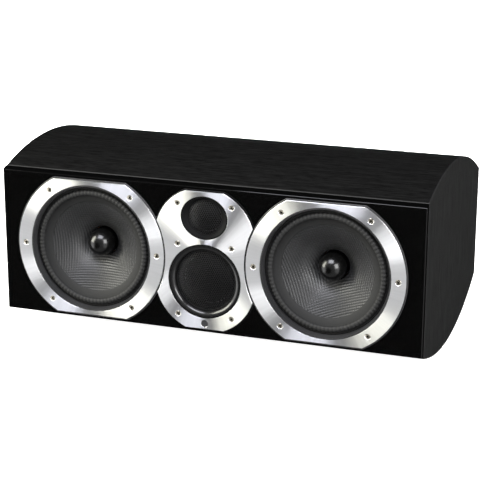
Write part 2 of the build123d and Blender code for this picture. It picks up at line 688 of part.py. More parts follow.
def dome(radius, rise, depth):
    """Soft dome with its rolled edge and its coil, glued on the plate at a depth."""
    edge = radius + DOME_ROLL
    land = radius + DOME_EDGE
    lines = []
    for level in (depth - DOME_WALL, depth):
        lines.append(TangentArc((0, level - rise), (radius, level), tangent=(1, 0)))
        top = (radius + DOME_ROLL / 2, level - DOME_ROLL_RISE)
        lines.append(ThreePointArc((radius, level), top, (edge, level)))
        lines.append(Line((edge, level), (land, level)))
    lines.append(Line((land, depth - DOME_WALL), (land, depth)))
    lines.append(Line((0, depth - DOME_WALL - rise), (0, depth - rise)))
    coil = ring(radius - DOME_COIL, radius, depth - DOME_WALL, depth + DOME_COIL_LENGTH)
    return turned(*lines) + coil


def small_motor(radius, magnet, thick, depth):
    """Plates and magnet behind a dome, on the Y axis."""
    bore = radius + COIL_GAP
    pole = radius - DOME_COIL - COIL_GAP
    front = depth + MOTOR_PLATE
    back = front + thick
    return {
        "top_plate": ring(bore, magnet, depth, front),
        "magnet": ring(bore + MAGNET_STEP, magnet, front, back),
        "back_plate": slug(pole, depth, back) + slug(magnet, back, back + MOTOR_PLATE),
    }


def midrange_parts():
    """Name and solid of each piece of the midrange, on the Y axis."""
    parts = small_motor(MID_DOME, MID_BODY, MID_MAGNET_THICK, MID_DEPTH)
    parts["mesh"] = mesh(MID_MESH, MID_MESH_CROWN, MID_MESH_DEPTH)
    parts["dome"] = dome(MID_DOME, MID_DOME_RISE, MID_DEPTH)
    return parts


def tweeter_parts():
    """Name and solid of each piece of the tweeter, on the Y axis."""
    parts = small_motor(TWEETER_DOME, TWEETER_BODY, TWEETER_MAGNET_THICK, TWEETER_DEPTH)
    parts["mesh"] = mesh(TWEETER_MESH, TWEETER_MESH_CROWN, TWEETER_MESH_DEPTH)
    parts["dome"] = dome(TWEETER_DOME, TWEETER_DOME_RISE, TWEETER_DEPTH)
    return parts


# Ports and terminals
def port():
    """Reflex port on the Y axis: flange on the back panel, rounded mouth, plain tube."""
    outside = PORT_BORE + PORT_WALL
    rear = CABINET_DEPTH + PORT_FLANGE_THICK
    front = rear - PORT_LENGTH
    lip = (PORT_BORE + PORT_FLARE, rear)
    throat = (PORT_BORE, rear - PORT_FLARE)
    return turned(
        TangentArc(throat, lip, tangent=(0, 1)),
        Polyline(lip, (outside + PORT_FLANGE, rear), (outside + PORT_FLANGE, CABINET_DEPTH)),
        Polyline((outside + PORT_FLANGE, CABINET_DEPTH), (outside, CABINET_DEPTH), (outside, front)),
        Polyline((outside, front), (PORT_BORE, front), throat),
    )


def cup_screws(grow=0):
    """Four countersunk screws in the terminal cup's flange, or the holes for them."""
    one = Rot(180, 0, 0) * screw(CUP_SCREW_HEAD, CUP_SCREW_RADIUS, CUP_SCREW_LENGTH, grow)
    x = CUP_WIDTH / 2 + CUP_FLANGE / 2 - CUP_WALL / 2
    z = CUP_HEIGHT / 2 + CUP_FLANGE / 2 - CUP_WALL / 2
    return [Pos(i * x, REAR_FACE, j * z) * one for i in (-1, 1) for j in (-1, 1)]


def terminal_cup():
    """Recessed plastic cup that carries the posts and, inside, the crossover."""
    border = 2 * CUP_FLANGE
    flange = RectangleRounded(CUP_WIDTH + border, CUP_HEIGHT + border, CUP_CORNER + CUP_FLANGE)
    cup = slab(flange, CABINET_DEPTH, REAR_FACE)
    cup = chamfer(cup.faces().sort_by(Axis.Y)[-1].edges(), CUP_FLANGE_THICK / 4)
    cup += slab(RectangleRounded(CUP_WIDTH, CUP_HEIGHT, CUP_CORNER), CUP_BACK, CABINET_DEPTH)
    walls = 2 * CUP_WALL
    hollow = RectangleRounded(CUP_WIDTH - walls, CUP_HEIGHT - walls, CUP_CORNER - CUP_WALL)
    cup -= slab(hollow, CUP_FLOOR, REAR_FACE)
    cup -= both((POST_SPACING / 2, 0), slug(POST_RADIUS, CUP_BACK, CUP_FLOOR))
    x = CUP_WIDTH / 2 - PILLAR_INSET
    z = CUP_HEIGHT / 2 - PILLAR_INSET
    pillar = slug(PILLAR_RADIUS, BOARD_BACK, CUP_BACK)
    cup += [Pos(i * x, 0, j * z) * pillar for i in (-1, 1) for j in (-1, 1)]
    return cup - cup_screws(SCREW_FIT)


def terminal_post():
    """Metal post with a collar and a socket for a plug, on the Y axis."""
    end = CAP_FRONT + CAP_LENGTH
    post = slug(POST_RADIUS, POST_FRONT, end)
    post += slug(POST_COLLAR, CUP_FLOOR, CUP_FLOOR + POST_COLLAR_THICK)
    return post - slug(POST_BORE, CAP_FRONT, end)


def terminal_cap():
    """Fluted cap that turns on a post, on the Y axis."""
    end = CAP_FRONT + CAP_LENGTH
    cap = ring(POST_RADIUS + CAP_FIT, CAP_RADIUS, CAP_FRONT, end)
    flute = Pos(CAP_RADIUS, 0, 0) * slug(CAP_FLUTE, CAP_FRONT, end)
    return cap - [Rot(0, turn * 360 / CAP_FLUTES, 0) * flute for turn in range(CAP_FLUTES)]


# Crossover
def board_rows():
    """Heights of the three rows of components on the board."""
    coils = BOARD_HEIGHT / 2 - BOARD_EDGE - COIL_RADIUS
    capacitors = coils - COIL_RADIUS - BOARD_GAP - CAPACITOR_RADIUS
    resistors = capacitors - CAPACITOR_RADIUS - BOARD_GAP - RESISTOR_SIDE / 2
    return coils, capacitors, resistors


def crossover_parts():
    """Board and components, seated on the terminal cup's pillars."""
    coils, capacitors, resistors = board_rows()
    x = BOARD_WIDTH / 4
    coil = ring(COIL_BORE, COIL_RADIUS, BOARD_FRONT - COIL_HEIGHT, BOARD_FRONT)
    capacitor = Rot(0, 90, 0) * Cylinder(CAPACITOR_RADIUS, CAPACITOR_LENGTH)
    capacitor = Pos(0, BOARD_FRONT - CAPACITOR_RADIUS, 0) * capacitor
    resistor = Box(RESISTOR_LENGTH, RESISTOR_SIDE, RESISTOR_SIDE)
    resistor = Pos(0, BOARD_FRONT - RESISTOR_SIDE / 2, 0) * resistor
    return {
        "crossover_board": slab(Rectangle(BOARD_WIDTH, BOARD_HEIGHT), BOARD_FRONT, BOARD_BACK),
        "crossover_inductors": both((x, coils), coil),
        "crossover_capacitors": both((x, capacitors), capacitor),
        "crossover_resistors": both((x, resistors), resistor),
    }


def cabinet_parts():
    """Panels, braces, filling and feet."""
    parts = {
        "front_baffle": front_baffle(),
        "back_panel": back_panel(),
        "top_panel": curved_panel(1),
        "bottom_panel": curved_panel(-1),
        "rubber_feet": feet(),
    }
    for name, side in SIDES.items():
        parts[f"{name}_end_panel"] = end_panel(side)
        parts[f"{name}_brace"] = brace(side)
        parts[f"{name}_wadding"] = wadding(side)
    return parts


def driver_parts():
    """Both woofers, the midrange and the tweeter with their plates and screws."""
    parts = {"driver_screws": driver_screws()}
    holes = driver_screws(SCREW_FIT)
    for piece, solid in woofer_parts().items():
        for name, side in SIDES.items():
            placed = Pos(side * WOOFER_X, 0, 0) * solid
            if piece in ("basket", "trim_ring"):
                placed -= holes
            parts[f"{name}_woofer_{piece}"] = placed
    parts["centre_plate"] = centre_plate()
    parts["centre_frame"] = centre_frame()
    disc = slug(DISC_RADIUS, -FLANGE_THICK - DISC_THICK, -FLANGE_THICK)
    parts["blank_disc"] = Pos(0, 0, DISC_Z) * disc
    for name, (height, pieces) in {
        "midrange": (MID_Z, midrange_parts()),
        "tweeter": (TWEETER_Z, tweeter_parts()),
    }.items():
        for piece, solid in pieces.items():
            parts[f"{name}_{piece}"] = Pos(0, 0, height) * solid
    return parts


def rear_parts():
    """Ports, terminals and crossover."""
    parts = {
        "terminal_cup": terminal_cup(),
        "terminal_cup_screws": cup_screws(),
        "terminal_posts": both((POST_SPACING / 2, 0), terminal_post()),
        "black_terminal_cap": Pos(-POST_SPACING / 2, 0, 0) * terminal_cap(),
        "red_terminal_cap": Pos(POST_SPACING / 2, 0, 0) * terminal_cap(),
    }
    for name, side in SIDES.items():
        parts[f"{name}_port"] = Pos(side * WOOFER_X, 0, 0) * port()
    return parts | crossover_parts()


def main():
    """Write every piece in the part's own frame."""
    os.makedirs("parts", exist_ok=True)
    place = Pos(0, -MIDDLE, -FLOOR)
    for name, shape in (cabinet_parts() | driver_parts() | rear_parts()).items():
        if isinstance(shape, list):
            shape = Compound(shape)
        export_step(place * shape, f"parts/{name}.step")


if __name__ == "__main__":
    main()
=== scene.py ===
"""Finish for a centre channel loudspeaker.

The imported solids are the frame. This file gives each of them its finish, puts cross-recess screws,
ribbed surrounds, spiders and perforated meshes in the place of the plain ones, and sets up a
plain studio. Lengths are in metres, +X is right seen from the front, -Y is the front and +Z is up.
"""

from functools import partial
from math import pi, radians, sqrt

import bmesh
import bpy
import numpy as np
from bpy.props import FloatProperty, FloatVectorProperty, IntProperty, PointerProperty
from mathutils import Matrix, Vector


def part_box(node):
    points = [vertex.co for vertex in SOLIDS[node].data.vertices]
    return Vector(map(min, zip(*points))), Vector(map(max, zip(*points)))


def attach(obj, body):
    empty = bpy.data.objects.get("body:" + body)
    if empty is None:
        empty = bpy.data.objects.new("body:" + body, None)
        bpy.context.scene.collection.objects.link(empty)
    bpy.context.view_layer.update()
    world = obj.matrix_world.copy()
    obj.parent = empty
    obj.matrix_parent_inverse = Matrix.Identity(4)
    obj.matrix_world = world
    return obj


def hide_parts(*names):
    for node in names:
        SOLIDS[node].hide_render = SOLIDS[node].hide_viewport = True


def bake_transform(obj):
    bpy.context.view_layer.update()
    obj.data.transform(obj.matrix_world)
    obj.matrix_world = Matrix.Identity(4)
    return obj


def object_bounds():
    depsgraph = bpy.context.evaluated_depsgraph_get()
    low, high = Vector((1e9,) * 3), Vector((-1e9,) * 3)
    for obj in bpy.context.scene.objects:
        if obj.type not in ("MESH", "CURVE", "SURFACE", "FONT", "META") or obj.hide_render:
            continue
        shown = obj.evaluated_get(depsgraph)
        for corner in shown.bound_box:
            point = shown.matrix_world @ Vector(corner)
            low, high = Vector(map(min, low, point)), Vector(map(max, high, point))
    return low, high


bl_info = {
    "name": "Centre loudspeaker finish",
    "version": (1, 0, 0),
    "blender": (4, 5, 0),
    "location": "View3D > Sidebar > Loudspeaker",
    "description": "Finishes, ribbed surrounds, perforated meshes and a studio for a loudspeaker",
    "category": "Object",
}

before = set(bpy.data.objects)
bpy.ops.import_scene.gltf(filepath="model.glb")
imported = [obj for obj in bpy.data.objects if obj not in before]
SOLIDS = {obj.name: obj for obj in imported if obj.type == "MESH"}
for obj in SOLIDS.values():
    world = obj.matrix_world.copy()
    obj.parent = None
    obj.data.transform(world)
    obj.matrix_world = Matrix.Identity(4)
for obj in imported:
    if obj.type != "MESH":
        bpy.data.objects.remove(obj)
CAD_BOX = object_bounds()


def middle(node):
    """Middle of a solid's box."""
    low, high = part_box(node)
    return (low + high) / 2


def half_width(node):
    """Half of a solid's size along X, which is the radius of a round one."""
    low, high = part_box(node)
    return (high.x - low.x) / 2


WOOFERS = {side: middle(f"{side}_woofer_trim_ring") for side in ("left", "right")}
DOMES = ("midrange", "tweeter")
PLATE = middle("centre_plate")
CONE_RADIUS = half_width("left_woofer_cone")
ROLL_OUTSIDE = half_width("left_woofer_surround")
CONE_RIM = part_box("left_woofer_cone")[0].y
WELD = 1e-6
FLOOR_REACH = 12.0
SENSOR_WIDTH = 36

# Distances from a cone's axis between which its shine falls off
NECK_RADIUS = 0.024
WAIST_RADIUS = 0.04

# Range that most of a noise keeps to
NOISE_LOW = 0.3
NOISE_HIGH = 0.7

# Colours that belong to a material and stay as they are
RAW_BOARD = (0.42, 0.3, 0.19, 1)
WADDING_WHITE = (0.8, 0.8, 0.78, 1)
DISC_BLACK = (0.02, 0.02, 0.022, 1)
BRIGHT_STEEL = (0.5, 0.47, 0.4, 1)
DULL_STEEL = (0.085, 0.085, 0.09, 1)
MOTOR_STEEL = (0.55, 0.55, 0.57, 1)
FERRITE_GREY = (0.04, 0.038, 0.037, 1)
COIL_COPPER = (0.4, 0.17, 0.08, 1)
INDUCTOR_COPPER = (0.72, 0.34, 0.15, 1)
FORMER_BLACK = (0.006, 0.006, 0.006, 1)
DOME_SILK = (0.0014, 0.0014, 0.0015, 1)
SPIDER_RESIN = (0.42, 0.27, 0.1, 1)
POST_GOLD = (0.86, 0.62, 0.26, 1)
CAP_BLACK = (0.015, 0.015, 0.015, 1)
CAP_RED = (0.42, 0.012, 0.014, 1)
LAMINATE_GREEN = (0.03, 0.13, 0.06, 1)
FILM_YELLOW = (0.42, 0.25, 0.04, 1)
CEMENT_WHITE = (0.7, 0.68, 0.62, 1)

# Kinds of setting
LengthProperty = partial(FloatProperty, unit="LENGTH")
PowerProperty = partial(FloatProperty, unit="POWER")
AngleProperty = partial(FloatProperty, subtype="ANGLE")
ShareProperty = partial(FloatProperty, subtype="FACTOR")
ColourProperty = partial(FloatVectorProperty, subtype="COLOR", size=4)
TintProperty = partial(FloatVectorProperty, subtype="COLOR", size=3)


# Sizes and colours that a user would change
class SurroundSettings(bpy.types.PropertyGroup):
    """Ribbed rubber roll round a woofer's cone."""

    ribs: IntProperty(name="Ribs", description="Number of radial ribs round the roll", default=90, min=12)
    rib_height: LengthProperty(
        name="Rib height", description="How far a rib stands out of the roll", default=0.0009
    )
    landing: LengthProperty(
        name="Landing", description="Width of the flat edge outside the roll", default=0.0033
    )
    glue_land: LengthProperty(
        name="Glued edge", description="Width of the smooth edge on the cone", default=0.0088
    )
    glue_fall: LengthProperty(
        name="Fall of the glued edge",
        description="How much deeper the glued edge is on its inside",
        default=0.0044,
    )
    landing_drop: LengthProperty(
        name="Landing drop",
        description="How far the basket's landing lies behind the rim of the cone",
        default=0.0008,
    )
    wall: LengthProperty(name="Wall", description="Thickness of the rubber", default=0.0005)


class MeshSettings(bpy.types.PropertyGroup):
    """Perforated metal over the midrange and the tweeter."""

    pitch: LengthProperty(
        name="Pitch", description="Distance between the middles of two holes", default=0.0027
    )
    opening: ShareProperty(
        name="Opening", description="Size of a hole as a share of its cell", default=0.72, min=0.1, max=0.95
    )
    wall: LengthProperty(name="Wall", description="Thickness of the metal", default=0.0005)
    rim: LengthProperty(name="Rim", description="Width of the plain edge", default=0.0014)


class ScrewSettings(bpy.types.PropertyGroup):
    """Screws of the rings, the centre plate and the terminal cup."""

    head: LengthProperty(name="Head", description="Radius of a head", default=0.0036)
    crown: LengthProperty(
        name="Crown", description="Rise of a head's middle over its shoulder", default=0.0004
    )
    shank: LengthProperty(name="Shank", description="Radius of a shank", default=0.002)
    recess: LengthProperty(
        name="Recess", description="Reach of an arm of the cross from its middle", default=0.0027
    )
    recess_depth: LengthProperty(name="Recess depth", description="Depth of the cross", default=0.0014)
    cup_scale: ShareProperty(
        name="Cup screws",
        description="Size of the terminal cup's screws as a share of the front ones",
        default=0.83,
        min=0.5,
        max=1.0,
    )
    seed: IntProperty(name="Seed", description="Changes how the screws are turned", default=7)


class FinishSettings(bpy.types.PropertyGroup):
    """Colours and grain sizes of the finishes."""

    lacquer: ColourProperty(
        name="Lacquer", description="Gloss black of the front board", default=(0.0008, 0.0008, 0.0008, 1)
    )
    vinyl: ColourProperty(
        name="Vinyl", description="Black of the wood-grain vinyl", default=(0.0036, 0.0036, 0.00355, 1)
    )
    # Painted light: the vinyl of the ends is painted this many times lighter than the top, as if lit from
    # the side
    painted_end_light: FloatProperty(
        name="Ends", description="How many times lighter the vinyl of the ends is", default=3.3
    )
    end_edge: LengthProperty(
        name="End edge",
        description="Distance from the ends over which the upright grain runs",
        default=0.0012,
    )
    aluminium: ColourProperty(
        name="Aluminium",
        description="Colour of the rings and the centre plate",
        default=(0.93, 0.935, 0.95, 1),
    )
    moulding: ColourProperty(
        name="Moulding",
        description="Black of the baskets, bezels, ports and terminal cup",
        default=(0.012, 0.012, 0.0125, 1),
    )
    rubber: ColourProperty(
        name="Rubber", description="Black of the surrounds and the feet", default=(0.019, 0.019, 0.0186, 1)
    )
    fibre: ColourProperty(
        name="Cone fibre", description="Grey of the woven cones", default=(0.0088, 0.0089, 0.0093, 1)
    )
    thread_pitch: LengthProperty(
        name="Thread pitch",
        description="Distance between two threads of the cones' weave",
        default=0.0029,
    )
    left_turn: AngleProperty(
        name="Left weave", description="How far the left cone's weave is turned", default=radians(3)
    )
    right_turn: AngleProperty(
        name="Right weave", description="How far the right cone's weave is turned", default=radians(20)
    )


class StageSettings(bpy.types.PropertyGroup):
    """Studio and camera."""

    camera_place: FloatVectorProperty(
        name="Camera",
        description="Place of the camera",
        subtype="TRANSLATION",
        unit="LENGTH",
        default=(0.63622, -1.77137, 0.65216),
    )
    camera_turn: AngleProperty(name="Turn", description="Turn of the camera to the left", default=0.3494)
    camera_tilt: AngleProperty(
        name="Tilt", description="Tilt of the camera below the horizon", default=0.28238
    )
    camera_roll: AngleProperty(name="Roll", description="Roll of the camera", default=0.00265)
    lens: FloatProperty(
        name="Lens", description="Focal length in millimetres", default=113.603, unit="CAMERA"
    )
    floor: ColourProperty(name="Floor", description="Colour of the floor", default=(0.92, 0.92, 0.92, 1))
    bounce: FloatProperty(
        name="Bounce", description="Strength of the light that the floor throws up", default=0.3
    )
    key: PowerProperty(name="Key light", description="Power of the softbox above", default=50)
    side: PowerProperty(name="Side light", description="Power of the softbox on the left", default=65)
    fill: PowerProperty(name="Fill light", description="Power of the softbox on the right", default=40)
    back: PowerProperty(name="Back light", description="Power of the low softbox behind", default=130)
    cool: TintProperty(name="Cool", description="Tint of the softbox above", default=(0.91, 0.92, 1.0))
    warm: TintProperty(
        name="Warm", description="Tint of the softbox on the left", default=(1.0, 0.99, 0.87)
    )
    glint: PowerProperty(
        name="Rear glint", description="Power of the softbox that the rear's gloss mirrors", default=14
    )
    sky: FloatProperty(name="Sky", description="Brightness of the soft light from the front", default=0.45)
    panels: FloatProperty(
        name="Panels", description="Brightness of the low panels that the aluminium mirrors", default=2.3
    )


# Nodes
class Result:
    """Result of a node. Plain arithmetic on it adds Math nodes to its tree."""

    def __init__(self, socket):
        self.socket = socket
        self.tree = socket.id_data

    def __add__(self, other):
        return calc("ADD", self, other)

    def __radd__(self, other):
        return calc("ADD", other, self)

    def __sub__(self, other):
        return calc("SUBTRACT", self, other)

    def __rsub__(self, other):
        return calc("SUBTRACT", other, self)

    def __mul__(self, other):
        return calc("MULTIPLY", self, other)

    def __truediv__(self, other):
        return calc("DIVIDE", self, other)

    def __rtruediv__(self, other):
        return calc("DIVIDE", other, self)

    def __gt__(self, other):
        return calc("GREATER_THAN", self, other)

    def __lt__(self, other):
        return calc("LESS_THAN", self, other)


class Results:
    """All results of a node, by name or number."""

    def __init__(self, node):
        self.node = node

    def __getitem__(self, label):
        return Result(self.node.outputs[label])


def feed(node, inputs):
    """Set or link inputs of a node, by name or number."""
    for label, value in inputs.items():
        if isinstance(value, Result):
            value.tree.links.new(value.socket, node.inputs[label])
        else:
            node.inputs[label].default_value = value


def place(tree, kind, inputs=None, **options):
    """Add a node with its options and its inputs, and give its results."""
    node = tree.nodes.new(kind)
    for option, value in options.items():
        setattr(node, option, value)
    feed(node, inputs or {})
    return Results(node)


def tree_of(values):
    """Tree of the first result among some values."""
    return next(value.tree for value in values if isinstance(value, Result))


def calc(operation, *values):
    """Result of a Math node."""
    return place(tree_of(values), "ShaderNodeMath", dict(enumerate(values)), operation=operation)[0]


sine = partial(calc, "SINE")
cosine = partial(calc, "COSINE")


def vector_calc(operation, *values):
    """Result of a Vector Math node: a number for a length or a dot product, or else a vector."""
    label = "Value" if operation in ("LENGTH", "DOT_PRODUCT") else "Vector"
    inputs = dict(enumerate(values))
    return place(tree_of(values), "ShaderNodeVectorMath", inputs, operation=operation)[label]


def spread(value, low, high, to_low=0.0, to_high=1.0):
    """A value mapped from one range to another and held within it."""
    inputs = {"Value": value, "From Min": low, "From Max": high, "To Min": to_low, "To Max": to_high}
    return place(value.tree, "ShaderNodeMapRange", inputs)["Result"]


def uneven(pattern, low, high):
    """A number that a noise moves between two others."""
    return spread(pattern, NOISE_LOW, NOISE_HIGH, low, high)


def between(low, high, share):
    """A number between two others, by a share from 0 to 1."""
    return (high - low) * share + low


def split(vector):
    """X, Y and Z of a vector."""
    parts = place(vector.tree, "ShaderNodeSeparateXYZ", {"Vector": vector})
    return parts["X"], parts["Y"], parts["Z"]


def joined(x, y, z):
    """Vector of three values."""
    return place(tree_of((x, y, z)), "ShaderNodeCombineXYZ", {"X": x, "Y": y, "Z": z})["Vector"]


def noise(vector, scale, detail=2.0, roughness=0.5):
    """Value of a Noise Texture."""
    inputs = {"Vector": vector, "Scale": scale, "Detail": detail, "Roughness": roughness}
    return place(vector.tree, "ShaderNodeTexNoise", inputs)["Fac"]


# A Mix node's sockets for each kind of data: the low one, the high one and the result
MIX_SOCKETS = {"FLOAT": (2, 3, 0), "VECTOR": (4, 5, 1), "RGBA": (6, 7, 2)}


def mixed(kind, amount, low, high):
    """Number, vector or colour between two, by an amount from 0 to 1."""
    first, second, result = MIX_SOCKETS[kind]
    inputs = {"Factor": amount, first: low, second: high}
    return place(amount.tree, "ShaderNodeMix", inputs, data_type=kind)[result]


tinted = partial(mixed, "RGBA")


def make_tree(name, kind, inputs, outputs):
    """Node group whose sockets are named by their kind, the results of its start, and its end."""
    tree = bpy.data.node_groups.new(name, kind)
    for in_out, sockets in (("INPUT", inputs), ("OUTPUT", outputs)):
        for data, labels in sockets.items():
            for label in labels:
                tree.interface.new_socket(label, in_out=in_out, socket_type=f"NodeSocket{data}")
    return tree, Results(tree.nodes.new("NodeGroupInput")), tree.nodes.new("NodeGroupOutput")


# Effects that several finishes share
def wood_grain_group():
    """Long streaks and short open pores, on a vector that is already stretched along the grain."""
    inputs, outputs = {"Vector": ["Vector"]}, {"Float": ["Streak", "Pore"]}
    tree, given, end = make_tree("wood grain", "ShaderNodeTree", inputs, outputs)
    fine = noise(given["Vector"], scale=4.5, detail=3.0, roughness=0.6)
    streak = noise(given["Vector"], scale=1.0, detail=5.0, roughness=0.6) + fine * 0.35
    pore = spread(noise(given["Vector"], scale=2.6), 0.50, 0.66)
    feed(end, {"Streak": streak, "Pore": pore})
    return tree


def weave_group():
    """Plain weave in X and Z, one unit to a thread: height, and which thread lies on top.

    Lines lets the threads of one direction stand out, and Lean says which: 0 along Z, 1 along X.
    """
    inputs = {"Vector": ["Vector"], "Float": ["Lean", "Lines"]}
    tree, given, end = make_tree("weave", "ShaderNodeTree", inputs, {"Float": ["Height", "Weft"]})
    across, _, along = split(given["Vector"])
    round_across = sine(calc("FRACT", across) * pi)
    round_along = sine(calc("FRACT", along) * pi)
    weft = calc("PINGPONG", calc("FLOOR", across) + calc("FLOOR", along), 1.0)
    end_height = 0.55
    warp_over = round_across * spread(round_along, 0, 1, end_height, 1)
    weft_over = round_along * spread(round_across, 0, 1, end_height, 1)
    plain = between(warp_over, weft_over, weft)
    line = between(round_across, round_along, given["Lean"])
    feed(end, {"Height": between(plain, line, given["Lines"]), "Weft": weft})
    return tree


def spun_group():
    """Turning marks about the Y axis: sectors that shine alike, and fine grooves."""
    outputs = {"Float": ["Sector", "Streak", "Groove"]}
    tree, given, end = make_tree("spun metal", "ShaderNodeTree", {"Vector": ["Vector"]}, outputs)
    x, _, z = split(given["Vector"])
    flat = joined(x, 0.0, z)
    turn = vector_calc("NORMALIZE", flat)
    grooves_per_metre = 2600.0
    groove = joined(vector_calc("LENGTH", flat) * grooves_per_metre, 0.0, 0.0)
    feed(end, {
        "Sector": noise(turn, scale=1.6, detail=1.0),
        "Streak": noise(turn, scale=14.0, detail=4.0, roughness=0.7),
        "Groove": noise(groove, scale=1.0),
    })
    return tree


def moulded_group():
    """Fine grain of moulded or sprayed surfaces, and broad unevenness of their gloss."""
    inputs, outputs = {"Vector": ["Vector"], "Float": ["Grain"]}, {"Float": ["Height", "Gloss"]}
    tree, given, end = make_tree("moulded grain", "ShaderNodeTree", inputs, outputs)
    feed(end, {
        "Height": noise(given["Vector"], scale=1.0 / given["Grain"], roughness=0.6),
        "Gloss": noise(given["Vector"], scale=28.0, detail=3.0, roughness=0.55),
    })
    return tree


GROUP_MAKERS = {
    "wood grain": wood_grain_group,
    "weave": weave_group,
    "spun metal": spun_group,
    "moulded grain": moulded_group,
}


def effect(tree, name, **inputs):
    """Places one of the shared effects in a material."""
    group = bpy.data.node_groups.get(name) or GROUP_MAKERS[name]()
    return place(tree, "ShaderNodeGroup", inputs, node_tree=group)


def object_place(tree, centre=(0, 0, 0), turn=0.0, scale=1.0):
    """Object coordinates about a centre, turned about the Y axis and scaled."""
    shifted = vector_calc("SUBTRACT", place(tree, "ShaderNodeTexCoord")["Object"], centre)
    inputs = {"Vector": shifted, "Rotation": (0, turn, 0), "Scale": (scale, scale, scale)}
    return place(tree, "ShaderNodeMapping", inputs)["Vector"]


def grained(tree, size):
    """Moulded grain of a size."""
    return effect(tree, "moulded grain", Vector=object_place(tree), Grain=size)


def stored(tree, name):
    """Value that a piece's mesh holds under a name."""
    return place(tree, "ShaderNodeAttribute", attribute_name=name)["Fac"]


def bump(height, strength, distance):
    """Normal from a height."""
    inputs = {"Height": height, "Strength": strength, "Distance": distance}
    return place(height.tree, "ShaderNodeBump", inputs)["Normal"]


def shade(colour, factor):
    """A colour made darker or lighter."""
    return [channel * factor for channel in colour[:3]] + [1.0]


def new_material(name):
    """Material with a Principled shader, and its tree."""
    material = bpy.data.materials.new(name)
    material.use_nodes = True
    return material, material.node_tree


def finished(material, inputs):
    """A material with inputs of its Principled shader set or linked."""
    feed(material.node_tree.nodes["Principled BSDF"], inputs)
    return material


# Finishes
def lacquer(name, colour):
    """Deep gloss black with the faint ripple of sprayed lacquer."""
    material, tree = new_material(name)
    ripple = grained(tree, 0.004)
    return finished(material, {
        "Base Color": tinted(ripple["Gloss"], colour, shade(colour, 1.6)),
        "Roughness": uneven(ripple["Gloss"], 0.05, 0.09),
        "Specular IOR Level": 0.35,
        "IOR": 1.5,
        "Normal": bump(ripple["Height"], strength=0.03, distance=0.0002),
    })


def board(name, colour):
    """Raw pressed board, speckled with its chips."""
    material, tree = new_material(name)
    chips = effect(tree, "wood grain", Vector=object_place(tree, scale=300))
    return finished(material, {
        "Base Color": tinted(chips["Streak"], shade(colour, 0.5), colour),
        "Roughness": spread(chips["Pore"], 0, 1, 0.6, 0.8),
        "Specular IOR Level": 0.2,
        "Normal": bump(chips["Streak"], strength=0.3, distance=0.0005),
    })


def vinyl(name, colour, half_length, painted_end_light, front):
    """Black vinyl pressed with wood grain: along X, but upright and finer on the ends, which are painted
    lighter as if lit from the side.

    A painted highlight runs as a paler line along its front edge.
    """
    material, tree = new_material(name)
    spot = object_place(tree)
    across, depth, _ = split(spot)
    on_end = calc("ABSOLUTE", across) > half_length
    along = vector_calc("MULTIPLY", spot, (26, 420, 420))
    upright = vector_calc("MULTIPLY", spot, (0, 700, 14))
    grain = effect(tree, "wood grain", Vector=mixed("VECTOR", on_end, along, upright))
    tone = grain["Streak"] - grain["Pore"] * 0.3
    contrast = spread(on_end, 0, 1, 1, 0.3)
    amount = (spread(tone, 0.4, 0.9) - 0.5) * contrast + 0.5
    # Painted highlight: a paler line along the front edge, where the edge catches the light
    dark, light, highlight_gain = 0.15, 2.4, 8
    highlight_start, highlight_end = front + 0.0006, front + 0.0016
    printed = tinted(amount, shade(colour, dark), shade(colour, light))
    # Painted light: a lighter copy of the grain for the ends
    ends = tinted(amount, shade(colour, dark * painted_end_light), shade(colour, light * painted_end_light))
    front_highlight = spread(depth, highlight_start, highlight_end, 1.0, 0.0)
    return finished(material, {
        "Base Color": tinted(front_highlight, tinted(on_end, printed, ends), shade(colour, highlight_gain)),
        "Roughness": spread(tone, 0.2, 0.9, 0.75, 0.5),
        "Specular IOR Level": 0.06,
        "Normal": bump(tone, strength=spread(on_end, 0, 1, 0.6, 0.15), distance=0.0004),
    })


def spun_aluminium(name, colour, centre):
    """Turned aluminium whose shine fans out from a centre."""
    material, tree = new_material(name)
    spun = effect(tree, "spun metal", Vector=object_place(tree, centre))
    tone = spread(spun["Streak"] * 0.7 + spun["Sector"] * 0.5, 0.35, 0.85)
    tangent = place(tree, "ShaderNodeTangent", direction_type="RADIAL", axis="Y")
    return finished(material, {
        "Base Color": tinted(tone, shade(colour, 0.84), colour),
        "Metallic": 1.0,
        "Roughness": uneven(spun["Streak"], 0.37, 0.43),
        "Anisotropic": 1.0,
        "Anisotropic Rotation": 0.25,
        "Tangent": tangent["Tangent"],
        "Normal": bump(spun["Groove"], strength=0.05, distance=0.0001),
    })


def moulding(name, colour, roughness, grain_size=0.0006, relief=0.15, shine=0.5):
    """Moulded plastic or painted metal with a fine grain."""
    material, tree = new_material(name)
    grain = grained(tree, grain_size)
    return finished(material, {
        "Base Color": tinted(grain["Gloss"], shade(colour, 0.8), shade(colour, 1.25)),
        "Roughness": uneven(grain["Gloss"], roughness - 0.05, roughness + 0.07),
        "Specular IOR Level": shine,
        "Normal": bump(grain["Height"], strength=relief, distance=0.0002),
    })


def bezel_plastic(name, colour, height):
    """Moulded plastic, matt above a height and with a polished skin below it."""
    material, tree = new_material(name)
    spot = object_place(tree, (0, 0, height))
    grain = effect(tree, "moulded grain", Vector=spot, Grain=0.001)
    _, _, above = split(spot)
    return finished(material, {
        "Base Color": tinted(grain["Gloss"], shade(colour, 0.6), colour),
        "Roughness": uneven(grain["Gloss"], 0.55, 0.65),
        "Specular IOR Level": 0.08,
        "Coat Weight": above < 0.0,
        "Coat Roughness": 0.19,
        "Normal": bump(grain["Height"], strength=0.05, distance=0.0002),
    })


